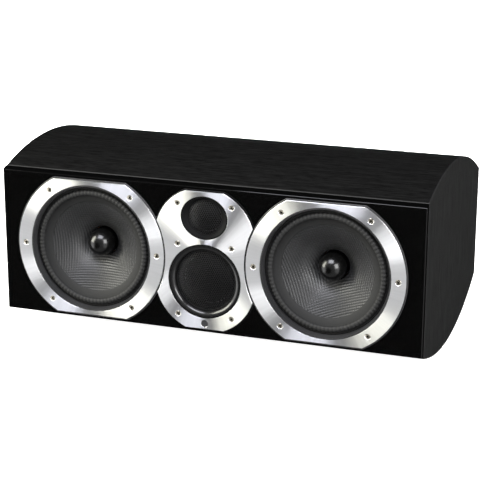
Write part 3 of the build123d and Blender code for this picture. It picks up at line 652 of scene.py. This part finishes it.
def ribbed_rubber(name, colour):
    """Matt rubber, painted lighter on the roll and the tops of its ribs, with painted shade in the rib
    valleys, its corners and its landing.
    """
    material, tree = new_material(name)
    grain = grained(tree, 0.0005)
    tone = stored(tree, "tone")
    # The stored tone is painted light and shade
    amount = (grain["Gloss"] - 0.5) * 0.2 + tone
    return finished(material, {
        "Base Color": tinted(amount, shade(colour, 0.08), colour),
        "Roughness": spread(tone, 0, 1, 0.75, 0.5),
        "Specular IOR Level": 0.36,
        "Normal": bump(grain["Height"], strength=0.1, distance=0.0002),
    })


def bare_metal(name, colour, roughness):
    """Plated steel or brass, a little uneven."""
    material, tree = new_material(name)
    grain = grained(tree, 0.0009)
    return finished(material, {
        "Base Color": tinted(grain["Gloss"], shade(colour, 0.75), colour),
        "Metallic": 1.0,
        "Roughness": uneven(grain["Height"], roughness - 0.06, roughness + 0.08),
    })


def recessed_metal(name, colour, roughness, metal=1.0):
    """Plated steel, bright or dull, with painted shade darkening its recess."""
    material, tree = new_material(name)
    recess = stored(tree, "recess")
    amount = (grained(tree, 0.0009)["Gloss"] - 0.5) * 0.2 + recess
    return finished(material, {
        "Base Color": tinted(amount, colour, shade(colour, 0.02)),
        "Metallic": metal,
        "Roughness": spread(recess, 0, 1, roughness, 0.6),
    })


def cloth(name, colour, centre, pitch, roughness, relief, contrast, turn=0.0, lines=0.0, shine=0.4):
    """Woven cloth, resin bonded, with its threads turned about the Y axis, painted lighter on their crests
    and with painted shade between them.

    Lines lets the threads that run across a cone's slope stand out, in relief and as painted sheen where
    they would catch the light.
    """
    material, tree = new_material(name)
    spot = object_place(tree, centre, turn, 1 / pitch)
    x, _, z = split(spot)
    across, along = calc("ABSOLUTE", x), calc("ABSOLUTE", z)
    lean = spread(along / (across + along), 0.4, 0.6)
    threads = effect(tree, "weave", Vector=spot, Lean=lean, Lines=lines)
    blotch = noise(object_place(tree, centre), scale=60.0, detail=3.0)
    # Painted light and shade: thread crests lighter, gaps darker, and the lines across the slope lighter as
    # painted sheen
    tone = threads["Weft"] * 0.25 + threads["Height"]
    amount = blotch * 0.2 + spread(tone, 0.2, 1.25, 0.0, 0.85)
    return finished(material, {
        "Base Color": tinted(amount, shade(colour, 1 - contrast), shade(colour, 1 + contrast)),
        "Roughness": spread(threads["Height"], 0.1, 1.0, roughness + 0.15, roughness),
        "Specular IOR Level": shine,
        "Normal": bump(threads["Height"], strength=relief, distance=0.0005),
    })


def cone_cloth(name, colour, centre, pitch, turn):
    """Cloth of a cone, which shines more towards its neck."""
    material = cloth(
        name, colour, centre, pitch, roughness=0.39, relief=0.9, contrast=0.6, turn=turn, lines=0.6
    )
    x, _, z = split(object_place(material.node_tree, centre))
    from_axis = vector_calc("LENGTH", joined(x, 0.0, z))
    neck_shine, waist_shine = 1.0, 0.46
    gleam = spread(from_axis, NECK_RADIUS, WAIST_RADIUS, neck_shine, waist_shine)
    return finished(material, {"Specular IOR Level": gleam})


def soft_fibre(name, colour):
    """Loose fibre wadding."""
    material, tree = new_material(name)
    tuft = noise(object_place(tree), scale=220.0, detail=6.0, roughness=0.7)
    return finished(material, {
        "Base Color": tinted(tuft, shade(colour, 0.6), colour),
        "Roughness": 0.95,
        "Sheen Weight": 0.3,
        "Normal": bump(tuft, strength=0.8, distance=0.002),
    })


def wound_wire(name, colour, pitch, start):
    """Enamelled wire wound about the Y axis, one turn to a pitch, on a dark former up to a start, with
    painted shade in the grooves between the turns.
    """
    material, tree = new_material(name)
    _, along, _ = split(object_place(tree, (0, start, 0), scale=1 / pitch))
    turn = sine(calc("FRACT", along) * pi)
    # Painted shade darkens the grooves between the turns
    wire = (along > 0.0) * spread(turn, 0, 1, 0.35, 1)
    return finished(material, {
        "Base Color": tinted(wire, FORMER_BLACK, colour),
        "Metallic": 0.6,
        "Roughness": spread(turn, 0, 1, 0.5, 0.28),
        "Coat Weight": 0.4,
        "Normal": bump(turn, strength=0.5, distance=0.0003),
    })


def coat(piece, material):
    """Give an object one finish."""
    piece.data.materials.clear()
    piece.data.materials.append(material)


def dress(material, *names):
    """Give solids a finish."""
    for name in names:
        coat(SOLIDS[name], material)


# Geometry trees
def grow(name, tree, values, points=()):
    """Run a geometry tree, on points where it needs them, and keep what it makes as a plain mesh."""
    piece = bpy.data.objects.new(name, bpy.data.meshes.new(name))
    piece.data.from_pydata(points, [], [])
    bpy.context.scene.collection.objects.link(piece)
    modifier = piece.modifiers.new(tree.name, "NODES")
    modifier.node_group = tree
    sockets = {s.name: s.identifier for s in tree.interface.items_tree if s.in_out == "INPUT"}
    for label, value in values.items():
        modifier[sockets[label]] = value
    graph = bpy.context.evaluated_depsgraph_get()
    mesh = bpy.data.meshes.new_from_object(piece.evaluated_get(graph))
    piece.modifiers.clear()
    piece.data = mesh
    if not mesh.polygons:
        raise RuntimeError(f"{name}: the geometry tree made nothing")
    return piece


def shape(tree, kind, inputs=None, **options):
    """First result of a geometry node."""
    return place(tree, f"GeometryNode{kind}", inputs, **options)[0]


def moved(geometry, **inputs):
    """Geometry with a Translation or a Rotation."""
    return shape(geometry.tree, "Transform", {"Geometry": geometry, **inputs})


def welded(geometry, distance):
    """Geometry whose points within a distance are made one."""
    return shape(geometry.tree, "MergeByDistance", {"Geometry": geometry, "Distance": distance})


def smoothed(geometry):
    """Geometry with smooth shading."""
    return shape(geometry.tree, "SetShadeSmooth", {"Geometry": geometry})


def together(*parts):
    """Several geometries as one."""
    both = place(parts[0].tree, "GeometryNodeJoinGeometry")
    for part in parts:
        feed(both.node, {0: part})
    return both[0]


def thicken(sheet, wall):
    """Closed wall from a sheet, grown towards the front."""
    forward = joined(0.0, wall * -1.0, 0.0)
    inputs = {"Mesh": sheet, "Offset": forward, "Offset Scale": 1.0, "Individual": False}
    grown = shape(sheet.tree, "ExtrudeMesh", inputs, mode="FACES")
    turned = shape(sheet.tree, "FlipFaces", {"Mesh": sheet})
    return welded(together(grown, turned), WELD)


def finish_tree(geometry, material, end):
    """Realize what a tree made, give it its material and put it out."""
    real = shape(geometry.tree, "RealizeInstances", {"Geometry": geometry})
    feed(end, {"Geometry": shape(geometry.tree, "SetMaterial", {"Geometry": real, "Material": material})})


def polar_sheet(tree, columns, rows):
    """Flat sheet, with an angle that goes once round along X and a section from 0 to 1 along Y."""
    inputs = {"Size X": 1.0, "Size Y": 1.0, "Vertices X": columns, "Vertices Y": rows}
    x, y, _ = split(shape(tree, "InputPosition"))
    return shape(tree, "MeshGrid", inputs), x * (2 * pi), y + 0.5


def wrapped(sheet, angle, radius, depth, weld, name, value):
    """Polar sheet wrapped about the Y axis and closed, with a named value stored on its points."""
    inputs = {"Geometry": sheet, "Name": name, "Value": value}
    marked = shape(sheet.tree, "StoreNamedAttribute", inputs, data_type="FLOAT", domain="POINT")
    spot = joined(radius * cosine(angle), depth, radius * sine(angle))
    return welded(shape(sheet.tree, "SetPosition", {"Geometry": marked, "Position": spot}), weld)


def profile(section, stations):
    """Value that passes through evenly spaced stations as a section goes from 0 to 1."""
    steps = len(stations) - 1
    total = stations[0]
    for number, (here, there) in enumerate(zip(stations, stations[1:])):
        total = total + spread(section, number / steps, (number + 1) / steps, 0.0, there - here)
    return total


def roll_tree():
    """Half-roll with ribs on its outer side, a flat landing outside it and a sloping land inside."""
    radii = ["Outside", "Roll outside", "Roll inside", "Land inside"]
    heights = ["Rib height", "Outer base", "Inner base", "Fall", "Wall"]
    inputs = {"Int": ["Ribs"], "Float": radii + heights, "Vector": ["Centre"], "Material": ["Material"]}
    tree, given, end = make_tree("ribbed roll", "GeometryNodeTree", inputs, {"Geometry": ["Geometry"]})
    steps_per_rib, rows = 6, 30
    sheet, angle, section = polar_sheet(tree, given["Ribs"] * steps_per_rib + 1.0, rows)
    landing_share, roll_end = 0.12, 0.76
    landing = spread(section, 0.0, landing_share, 1.0, 0.0)
    bend = spread(section, landing_share, roll_end, 0.0, pi)
    land = spread(section, roll_end, 1.0)

    size = (given["Roll outside"] - given["Roll inside"]) * 0.5
    middle_radius = given["Roll inside"] + size
    flatness, inner_rib = 0.6, 0.3
    on_roll = calc("POWER", calc("MAXIMUM", sine(bend), 0.0), flatness)
    rib = cosine(angle * given["Ribs"]) * (on_roll * spread(bend, 0.0, pi, 1.0, inner_rib))
    reach = rib * (given["Rib height"] * 0.5) + size

    landing_width = given["Outside"] - given["Roll outside"]
    land_width = given["Roll inside"] - given["Land inside"]
    radius = cosine(bend) * reach + middle_radius + landing * landing_width - land * land_width
    base = spread(bend, 0.0, pi, given["Outer base"], given["Inner base"])
    depth = land * given["Fall"] + base - sine(bend) * reach

    # Painted light and shade: the roll's crest and the rib tops lighter, the rib valleys and the landing
    # darker
    roll_tone, rib_tone, land_tone = 0.42, 0.25, 0.36
    tone = on_roll * roll_tone + rib * rib_tone + land * land_tone
    roll = wrapped(sheet, angle, radius, depth, 10 * WELD, "tone", tone)
    roll = moved(roll, Translation=joined(0.0, given["Wall"], 0.0))
    roll = smoothed(thicken(roll, given["Wall"]))
    finish_tree(moved(roll, Translation=given["Centre"]), given["Material"], end)
    return tree


def perforated_tree():
    """Domed sheet of hexagonal cells, each with a hole, in a plain rim."""
    sizes = ["Radius", "Edge", "Rise", "Pitch", "Opening", "Wall", "Rim"]
    inputs = {"Float": sizes, "Vector": ["Centre"], "Material": ["Material"]}
    tree, given, end = make_tree("perforated dome", "GeometryNodeTree", inputs, {"Geometry": ["Geometry"]})
    row_height = given["Pitch"] * (sqrt(3) / 2)
    across = given["Radius"] * 2.0
    columns = calc("CEIL", across / given["Pitch"] + 2.0)
    rows = calc("CEIL", across / row_height + 2.0)
    index = shape(tree, "InputIndex")
    row = calc("FLOOR", (index + 0.5) / columns)
    column = index - row * columns
    x = column + calc("PINGPONG", row, 1.0) * 0.5 - columns * 0.5
    z = row - rows * 0.5
    spot = joined(x * given["Pitch"], 0.0, z * row_height)
    lattice = shape(tree, "Points", {"Count": columns * rows, "Position": spot})
    from_axis = vector_calc("LENGTH", shape(tree, "InputPosition"))
    covered_rim = 0.7
    outside = from_axis > given["Radius"] - given["Rim"] * covered_rim
    kept = shape(tree, "DeleteGeometry", {"Geometry": lattice, "Selection": outside}, domain="POINT")

    corner = given["Pitch"] / sqrt(3)
    hexagon = shape(tree, "MeshCircle", {"Vertices": 6, "Radius": corner}, fill_type="NGON")
    inset = place(tree, "GeometryNodeExtrudeMesh", {"Mesh": hexagon, "Offset Scale": 0.0}, mode="FACES")
    hole = inset["Top"]
    inputs = {"Geometry": inset["Mesh"], "Selection": hole, "Scale": given["Opening"]}
    shrunk = shape(tree, "ScaleElements", inputs)
    cell = shape(tree, "DeleteGeometry", {"Geometry": shrunk, "Selection": hole}, domain="FACE")
    facing = (pi / 2, 0.0, 0.0)
    upright = moved(moved(cell, Rotation=(0.0, 0.0, pi / 6)), Rotation=facing)
    cells = shape(tree, "InstanceOnPoints", {"Points": kept, "Instance": upright})
    seam = given["Pitch"] * 0.02
    sheet = welded(shape(tree, "RealizeInstances", {"Geometry": cells}), seam)
    dome = (1.0 - calc("POWER", from_axis / given["Radius"], 2.0)) * given["Rise"]
    back = given["Edge"] - dome + given["Wall"]
    domed = shape(tree, "SetPosition", {"Geometry": sheet, "Offset": joined(0.0, back, 0.0)})
    wall = thicken(domed, given["Wall"])

    half_rim = given["Rim"] * 0.5
    inputs = {"Resolution": 96, "Radius": given["Radius"] - half_rim}
    circle = shape(tree, "CurvePrimitiveCircle", inputs)
    bar = shape(tree, "CurvePrimitiveCircle", {"Resolution": 10, "Radius": half_rim})
    rim = shape(tree, "CurveToMesh", {"Curve": circle, "Profile Curve": bar})
    rim_place = joined(0.0, given["Edge"] + given["Wall"], 0.0)
    rim = smoothed(moved(rim, Rotation=facing, Translation=rim_place))
    finish_tree(moved(together(wall, rim), Translation=given["Centre"]), given["Material"], end)
    return tree


def screw_tree():
    """Cross-recess screw with a low crowned head at each point of the piece, each turned its own way."""
    inputs = {
        "Geometry": ["Geometry"],
        "Float": ["Head", "Crown", "Rim", "Neck", "Shank", "Length", "Recess", "Recess depth"],
        "Vector": ["Facing"],
        "Int": ["Seed"],
        "Material": ["Material"],
    }
    tree, given, end = make_tree("screws", "GeometryNodeTree", inputs, {"Geometry": ["Geometry"]})
    columns, stations = 12, 8
    sheet, angle, section = polar_sheet(tree, columns + 1, stations)
    arms, web, shoulder, bottom = 4.0, 0.42, 0.9, 0.7
    recess = spread(cosine(angle * arms), -0.5, 1.0, web, 1.0) * given["Recess"]
    shank, head, length, deep = given["Shank"], given["Head"], given["Length"], given["Recess depth"]
    radii = [0.0, shank, shank, head, head * shoulder, recess, recess * bottom, 0.0]
    depths = [length, length, given["Neck"], given["Rim"], given["Crown"], 0.0, deep, deep]
    last = stations - 1
    # Painted shade: the walls and bottom of the recess are marked to be darkened
    recess_shade = spread(section, (last - 2) / last, (last - 1) / last)
    radius, depth = profile(section, radii), profile(section, depths)
    screw = wrapped(sheet, angle, radius, depth, WELD, "recess", recess_shade)
    inputs = {0: (0.0, 0.0, 0.0), 1: (0.0, 2 * pi, 0.0), "Seed": given["Seed"]}
    turn = place(tree, "FunctionNodeRandomValue", inputs, data_type="FLOAT_VECTOR")[0]
    faced = moved(screw, Rotation=given["Facing"])
    inputs = {"Points": given["Geometry"], "Instance": faced, "Rotation": turn}
    finish_tree(shape(tree, "InstanceOnPoints", inputs), given["Material"], end)
    return tree


def spots(node, reach, behind):
    """Front or back middles of the small pieces that one solid holds, each no wider than a reach."""
    points = np.array([vertex.co for vertex in SOLIDS[node].data.vertices])
    found = []
    while len(points):
        away = points - points[0]
        near = np.hypot(away[:, 0], away[:, 2]) < reach
        low, high = points[near].min(axis=0), points[near].max(axis=0)
        depth = high[1] if behind else low[1]
        found.append(((low[0] + high[0]) / 2, depth, (low[2] + high[2]) / 2))
        points = points[~near]
    return sorted(found)


def merged_copy(name, node):
    """Copy of a solid with its loose triangles joined, smooth but for its sharp edges."""
    mesh = SOLIDS[node].data.copy()
    work = bmesh.new()
    work.from_mesh(mesh)
    bmesh.ops.remove_doubles(work, verts=work.verts, dist=WELD)
    work.to_mesh(mesh)
    work.free()
    mesh.shade_smooth()
    mesh.set_sharp_from_angle(angle=radians(35))
    piece = bpy.data.objects.new(name, mesh)
    bpy.context.scene.collection.objects.link(piece)
    return piece


def flex(piece):
    """Bake a round piece's place into its mesh. still beyond the outer radius, moving with the body inside
    the inner one.
    """
    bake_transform(piece)


# Operators
class SPEAKER_OT_cabinet(bpy.types.Operator):
    """Finish the boards of the cabinet, its feet and what is glued inside it"""

    bl_idname = "speaker.cabinet"
    bl_label = "Cabinet"

    def execute(self, context):
        look = context.scene.speaker_finish
        dress(lacquer("gloss_lacquer", look.lacquer), "front_baffle")
        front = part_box("top_panel")[0].y
        wrap = vinyl("vinyl_wrap", look.vinyl, CAD_BOX[1].x - look.end_edge, look.painted_end_light, front)
        dress(wrap, "top_panel", "bottom_panel", "back_panel", "left_end_panel", "right_end_panel")
        foot = moulding("foot_rubber", look.rubber, roughness=0.75, grain_size=0.0008, relief=0.3)
        dress(foot, "rubber_feet")
        dress(board("raw_board", RAW_BOARD), "left_brace", "right_brace")
        dress(soft_fibre("wadding_fibre", WADDING_WHITE), "left_wadding", "right_wadding")
        return {"FINISHED"}


class SPEAKER_OT_plates(bpy.types.Operator):
    """Finish the aluminium rings, the centre plate and the blank disc"""

    bl_idname = "speaker.plates"
    bl_label = "Rings and plate"

    def execute(self, context):
        look = context.scene.speaker_finish
        for side, centre in WOOFERS.items():
            dress(spun_aluminium(f"{side}_ring", look.aluminium, centre), f"{side}_woofer_trim_ring")
        dress(spun_aluminium("centre_plate", look.aluminium, PLATE), "centre_plate")
        dress(moulding("disc_satin", DISC_BLACK, roughness=0.35), "blank_disc")
        return {"FINISHED"}


class SPEAKER_OT_screws(bpy.types.Operator):
    """Put a cross-recess screw in each screw hole of the rings, the plate and the terminal cup"""

    bl_idname = "speaker.screws"
    bl_label = "Screws"

    def drive(self, name, node, tree, sizes, steel, scale=1.0, behind=False):
        """Screws in the place of the plain ones of a solid, scaled from the settings."""
        head, crown, shank = scale * sizes.head, scale * sizes.crown, scale * sizes.shank
        low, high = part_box(node)
        widest = 2.2 * head
        screws = grow(
            name,
            tree,
            {
                "Head": head,
                "Crown": crown,
                "Rim": 2 * crown,
                "Neck": head - shank + crown,
                "Shank": shank,
                "Length": high.y - low.y - crown,
                "Recess": scale * sizes.recess,
                "Recess depth": scale * sizes.recess_depth,
                "Facing": (0.0, 0.0, pi if behind else 0.0),
                "Seed": sizes.seed,
                "Material": steel,
            },
            spots(node, widest, behind),
        )
        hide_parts(node)
        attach(screws, "cabinet")

    def execute(self, context):
        sizes = context.scene.speaker_screw
        tree = screw_tree()
        bright = recessed_metal("screw_steel", BRIGHT_STEEL, roughness=0.28)
        self.drive("cross_screws", "driver_screws", tree, sizes, bright)
        dull = recessed_metal("cup_screw_steel", DULL_STEEL, roughness=0.45, metal=0.4)
        scale = sizes.cup_scale
        self.drive("cup_cross_screws", "terminal_cup_screws", tree, sizes, dull, scale, behind=True)
        return {"FINISHED"}


class SPEAKER_OT_drivers(bpy.types.Operator):
    """Finish the cones, plugs, baskets, domes, coils and motors"""

    bl_idname = "speaker.drivers"
    bl_label = "Drivers"

    def execute(self, context):
        look = context.scene.speaker_finish
        turns = {"left": look.left_turn, "right": look.right_turn}
        basket = moulding("basket_satin", shade(look.moulding, 1.5), roughness=0.42)
        plug = moulding("plug_gloss", look.lacquer, roughness=0.2, grain_size=0.002, relief=0.02)
        steel = bare_metal("motor_steel", MOTOR_STEEL, roughness=0.35)
        ferrite = moulding("ferrite", FERRITE_GREY, roughness=0.55, grain_size=0.001, relief=0.4)
        winding = middle("left_woofer_voice_coil").y
        copper = wound_wire("coil_wire", COIL_COPPER, pitch=0.0008, start=winding)
        for side, centre in WOOFERS.items():
            fibre = cone_cloth(f"{side}_cone_fibre", look.fibre, centre, look.thread_pitch, turns[side])
            dress(fibre, f"{side}_woofer_cone")
            dress(basket, f"{side}_woofer_basket")
            dress(plug, f"{side}_woofer_phase_plug")
            dress(copper, f"{side}_woofer_voice_coil")
            dress(steel, f"{side}_woofer_top_plate", f"{side}_woofer_back_plate")
            dress(ferrite, f"{side}_woofer_magnet")
        parting = (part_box("midrange_mesh")[1].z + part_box("tweeter_mesh")[0].z) / 2
        dress(bezel_plastic("bezel_gloss", shade(look.moulding, 0.3), parting), "centre_frame")
        weave = {"pitch": 0.0009, "roughness": 0.5, "relief": 0.3, "contrast": 0.3, "shine": 0.1}
        for driver in DOMES:
            solid = f"{driver}_dome"
            dress(cloth(f"{solid}_cloth", DOME_SILK, middle(solid), **weave), solid)
            dress(steel, f"{driver}_top_plate", f"{driver}_back_plate")
            dress(ferrite, f"{driver}_magnet")
        return {"FINISHED"}


class SPEAKER_OT_surrounds(bpy.types.Operator):
    """Make the ribbed surrounds and the spiders of the woofers"""

    bl_idname = "speaker.surrounds"
    bl_label = "Surrounds and spiders"

    def execute(self, context):
        sizes = context.scene.speaker_surround
        look = context.scene.speaker_finish
        tree = roll_tree()
        rubber = ribbed_rubber("roll_rubber", look.rubber)
        weave = {"pitch": 0.0008, "roughness": 0.6, "relief": 0.3, "contrast": 0.3}
        roll_outside = ROLL_OUTSIDE - sizes.landing
        roll_inside = CONE_RADIUS
        inner_base = CONE_RIM - sizes.wall
        for side, centre in WOOFERS.items():
            axis = Vector((centre.x, 0, centre.z))
            roll = grow(
                f"{side}_woofer_roll",
                tree,
                {
                    "Ribs": sizes.ribs,
                    "Rib height": sizes.rib_height,
                    "Outside": ROLL_OUTSIDE,
                    "Roll outside": roll_outside,
                    "Roll inside": roll_inside,
                    "Land inside": roll_inside - sizes.glue_land,
                    "Outer base": inner_base + sizes.landing_drop,
                    "Inner base": inner_base,
                    "Fall": sizes.glue_fall,
                    "Wall": sizes.wall,
                    "Centre": axis,
                    "Material": rubber,
                },
            )
            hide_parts(f"{side}_woofer_surround")
            flex(roll)
            spider = f"{side}_woofer_spider"
            name = f"{side}_woofer_corrugation"
            bent = merged_copy(name, spider)
            coat(bent, cloth(name, SPIDER_RESIN, centre, **weave))
            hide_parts(spider)
            flex(bent)
        return {"FINISHED"}


class SPEAKER_OT_meshes(bpy.types.Operator):
    """Perforate the meshes over the midrange and the tweeter"""

    bl_idname = "speaker.meshes"
    bl_label = "Perforated meshes"

    def execute(self, context):
        sizes = context.scene.speaker_mesh
        black = shade(context.scene.speaker_finish.moulding, 0.5)
        tree = perforated_tree()
        paint = moulding("mesh_paint", black, roughness=0.34, grain_size=0.0005, relief=0.05, shine=0.32)
        for driver in DOMES:
            solid = f"{driver}_mesh"
            low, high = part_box(solid)
            edge = high.y - 2 * sizes.wall
            centre = middle(solid)
            piece = grow(
                f"{driver}_perforated_mesh",
                tree,
                {
                    "Radius": half_width(solid),
                    "Edge": edge,
                    "Rise": edge - low.y,
                    "Pitch": sizes.pitch,
                    "Opening": sizes.opening,
                    "Wall": sizes.wall,
                    "Rim": sizes.rim,
                    "Centre": Vector((centre.x, 0, centre.z)),
                    "Material": paint,
                },
            )
            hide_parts(solid)
            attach(piece, "cabinet")
        return {"FINISHED"}


class SPEAKER_OT_rear(bpy.types.Operator):
    """Finish the ports, the terminals and the crossover behind them"""

    bl_idname = "speaker.rear"
    bl_label = "Ports, terminals and crossover"

    def execute(self, context):
        black = context.scene.speaker_finish.moulding
        dress(moulding("port_satin", black, roughness=0.5), "left_port", "right_port")
        cup = moulding("cup_satin", black, roughness=0.4, grain_size=0.0007, relief=0.3)
        dress(cup, "terminal_cup")
        dress(bare_metal("post_plating", POST_GOLD, roughness=0.25), "terminal_posts")
        dress(moulding("cap_black", CAP_BLACK, roughness=0.3), "black_terminal_cap")
        dress(moulding("cap_red", CAP_RED, roughness=0.3), "red_terminal_cap")
        dress(moulding("board_laminate", LAMINATE_GREEN, roughness=0.4), "crossover_board")
        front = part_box("crossover_inductors")[0].y
        wire = wound_wire("inductor_wire", INDUCTOR_COPPER, pitch=0.0011, start=front)
        dress(wire, "crossover_inductors")
        dress(moulding("capacitor_film", FILM_YELLOW, roughness=0.3), "crossover_capacitors")
        cement = moulding("resistor_cement", CEMENT_WHITE, roughness=0.8, grain_size=0.0008, relief=0.5)
        dress(cement, "crossover_resistors")
        return {"FINISHED"}


class SPEAKER_OT_stage(bpy.types.Operator):
    """Set up the floor, the lights and the camera"""

    bl_idname = "speaker.stage"
    bl_label = "Studio"

    def softbox(self, name, power, towards, distance, size, colour=(1, 1, 1), mirrored=True):
        """Area light that looks at the loudspeaker from a direction; gloss may mirror it or not."""
        light = bpy.data.lights.new(name, "AREA")
        light.shape = "RECTANGLE"
        light.size, light.size_y = size
        light.energy = power
        light.color = colour
        lamp = bpy.data.objects.new(name, light)
        target = (CAD_BOX[0] + CAD_BOX[1]) / 2
        direction = Vector(towards).normalized()
        lamp.location = target + direction * distance
        lamp.rotation_mode = "QUATERNION"
        lamp.rotation_quaternion = direction.to_track_quat("Z", "Y")
        lamp.visible_glossy = mirrored
        bpy.context.scene.collection.objects.link(lamp)

    def floor(self, colour, bounce):
        """Wide pale floor with a glow, which gloss doesn't mirror, as if dark cloth lay in front."""
        mesh = bpy.data.meshes.new("floor")
        corners = [(x * FLOOR_REACH, y * FLOOR_REACH, 0) for x, y in ((-1, -1), (1, -1), (1, 1), (-1, 1))]
        mesh.from_pydata(corners, [], [(0, 1, 2, 3)])
        plain = bpy.data.objects.new("floor", mesh)
        bpy.context.scene.collection.objects.link(plain)
        material, tree = new_material("floor_paper")
        seen = place(tree, "ShaderNodeLightPath")["Is Camera Ray"]
        seen_glow = 0.95
        paper = noise(object_place(tree), scale=40.0, detail=3.0)
        mesh.materials.append(finished(material, {
            "Base Color": tinted(paper, shade(colour, 0.985), colour),
            "Roughness": 0.9,
            "Specular IOR Level": 0.1,
            "Emission Strength": spread(seen, 0, 1, bounce, seen_glow),
        }))
        plain.visible_glossy = False

    def patch(self, direction, towards, edge, full):
        """Round patch of the sky about a direction, from 0 at its edge to 1."""
        return spread(vector_calc("DOT_PRODUCT", direction, towards), edge, full)

    def sky(self, strength, panels):
        """Soft light from the front, a dark card before the gloss, and low panels for mirroring alone."""
        world = bpy.data.worlds.new("studio")
        bpy.context.scene.world = world
        world.use_nodes = True
        tree = world.node_tree
        direction = place(tree, "ShaderNodeTexCoord")["Generated"]
        ray = place(tree, "ShaderNodeLightPath")
        _, depth, _ = split(direction)
        ahead = spread(depth, -0.5, 0.2, 1.0, 0.0)
        card = self.patch(direction, (-0.335, -0.901, -0.276), edge=0.83, full=0.95)
        low_left = self.patch(direction, (-0.88, -0.42, -0.2), edge=0.88, full=0.95)
        low_right = self.patch(direction, (0.86, -0.45, -0.25), edge=0.88, full=0.95)
        darkest, right_share = 0.01, 0.45
        glow = ahead * (1.0 - card) * strength + darkest
        mirrored = (low_right * right_share + low_left) * panels * ray["Is Glossy Ray"]
        amount = mixed("FLOAT", ray["Is Camera Ray"], glow + mirrored, 1.0)
        feed(tree.nodes["Background"], {"Color": (1, 1, 1, 1), "Strength": amount})

    def camera(self, stage):
        """Camera at the photograph's place."""
        data = bpy.data.cameras.new("camera")
        data.lens = stage.lens
        data.sensor_width = SENSOR_WIDTH
        camera = bpy.data.objects.new("camera", data)
        bpy.context.scene.collection.objects.link(camera)
        turn = Matrix.Rotation(stage.camera_turn, 4, "Z")
        tilt = Matrix.Rotation(pi / 2 - stage.camera_tilt, 4, "X")
        roll = Matrix.Rotation(stage.camera_roll, 4, "Z")
        camera.matrix_world = Matrix.Translation(stage.camera_place) @ turn @ tilt @ roll
        bpy.context.scene.camera = camera

    def execute(self, context):
        stage = context.scene.speaker_stage
        self.floor(stage.floor, stage.bounce)
        self.sky(stage.sky, stage.panels)
        above, left, right = (0.02, -0.55, 0.83), (-0.82, -0.42, 0.38), (0.75, -0.62, 0.32)
        behind, behind_right = (-0.3, 0.94, 0.12), (0.7, 0.45, 0.55)
        near, far = 2.0, 2.2
        self.softbox("top_softbox", stage.key, above, near, size=(1.3, 1.0), colour=stage.cool)
        self.softbox("left_softbox", stage.side, left, near, size=(1.2, 1.4), colour=stage.warm)
        self.softbox("right_softbox", stage.fill, right, far, size=(1.0, 1.2))
        self.softbox("back_softbox", stage.back, behind, far, size=(1.2, 0.5), mirrored=False)
        self.softbox("rear_glint", stage.glint, behind_right, far, size=(0.8, 0.8))
        self.camera(stage)
        context.scene.view_settings.view_transform = "Standard"
        return {"FINISHED"}


class SPEAKER_PT_finish(bpy.types.Panel):
    """Loudspeaker tab of the sidebar"""

    bl_label = "Loudspeaker"
    bl_idname = "SPEAKER_PT_finish"
    bl_space_type = "VIEW_3D"
    bl_region_type = "UI"
    bl_category = "Loudspeaker"

    def draw(self, context):
        for operator in OPERATORS:
            self.layout.operator(operator.bl_idname)
        for name in SETTINGS:
            settings = getattr(context.scene, name)
            box = self.layout.box()
            for prop in settings.__annotations__:
                box.prop(settings, prop)


OPERATORS = (
    SPEAKER_OT_cabinet,
    SPEAKER_OT_plates,
    SPEAKER_OT_screws,
    SPEAKER_OT_drivers,
    SPEAKER_OT_surrounds,
    SPEAKER_OT_meshes,
    SPEAKER_OT_rear,
    SPEAKER_OT_stage,
)
SETTINGS = {
    "speaker_surround": SurroundSettings,
    "speaker_mesh": MeshSettings,
    "speaker_screw": ScrewSettings,
    "speaker_finish": FinishSettings,
    "speaker_stage": StageSettings,
}


def register():
    """Register the settings, the operators and the panel."""
    for name, group in SETTINGS.items():
        bpy.utils.register_class(group)
        setattr(bpy.types.Scene, name, PointerProperty(type=group))
    for cls in (*OPERATORS, SPEAKER_PT_finish):
        bpy.utils.register_class(cls)


def unregister():
    """Remove the panel, the operators and the settings."""
    for cls in reversed((*OPERATORS, SPEAKER_PT_finish)):
        bpy.utils.unregister_class(cls)
    for name, group in SETTINGS.items():
        delattr(bpy.types.Scene, name)
        bpy.utils.unregister_class(group)


def main():
    """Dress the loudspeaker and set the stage."""
    register()
    bpy.ops.speaker.cabinet()
    bpy.ops.speaker.plates()
    bpy.ops.speaker.screws()
    bpy.ops.speaker.drivers()
    bpy.ops.speaker.surrounds()
    bpy.ops.speaker.meshes()
    bpy.ops.speaker.rear()
    bpy.ops.speaker.stage()


if __name__ == "__main__":
    main()
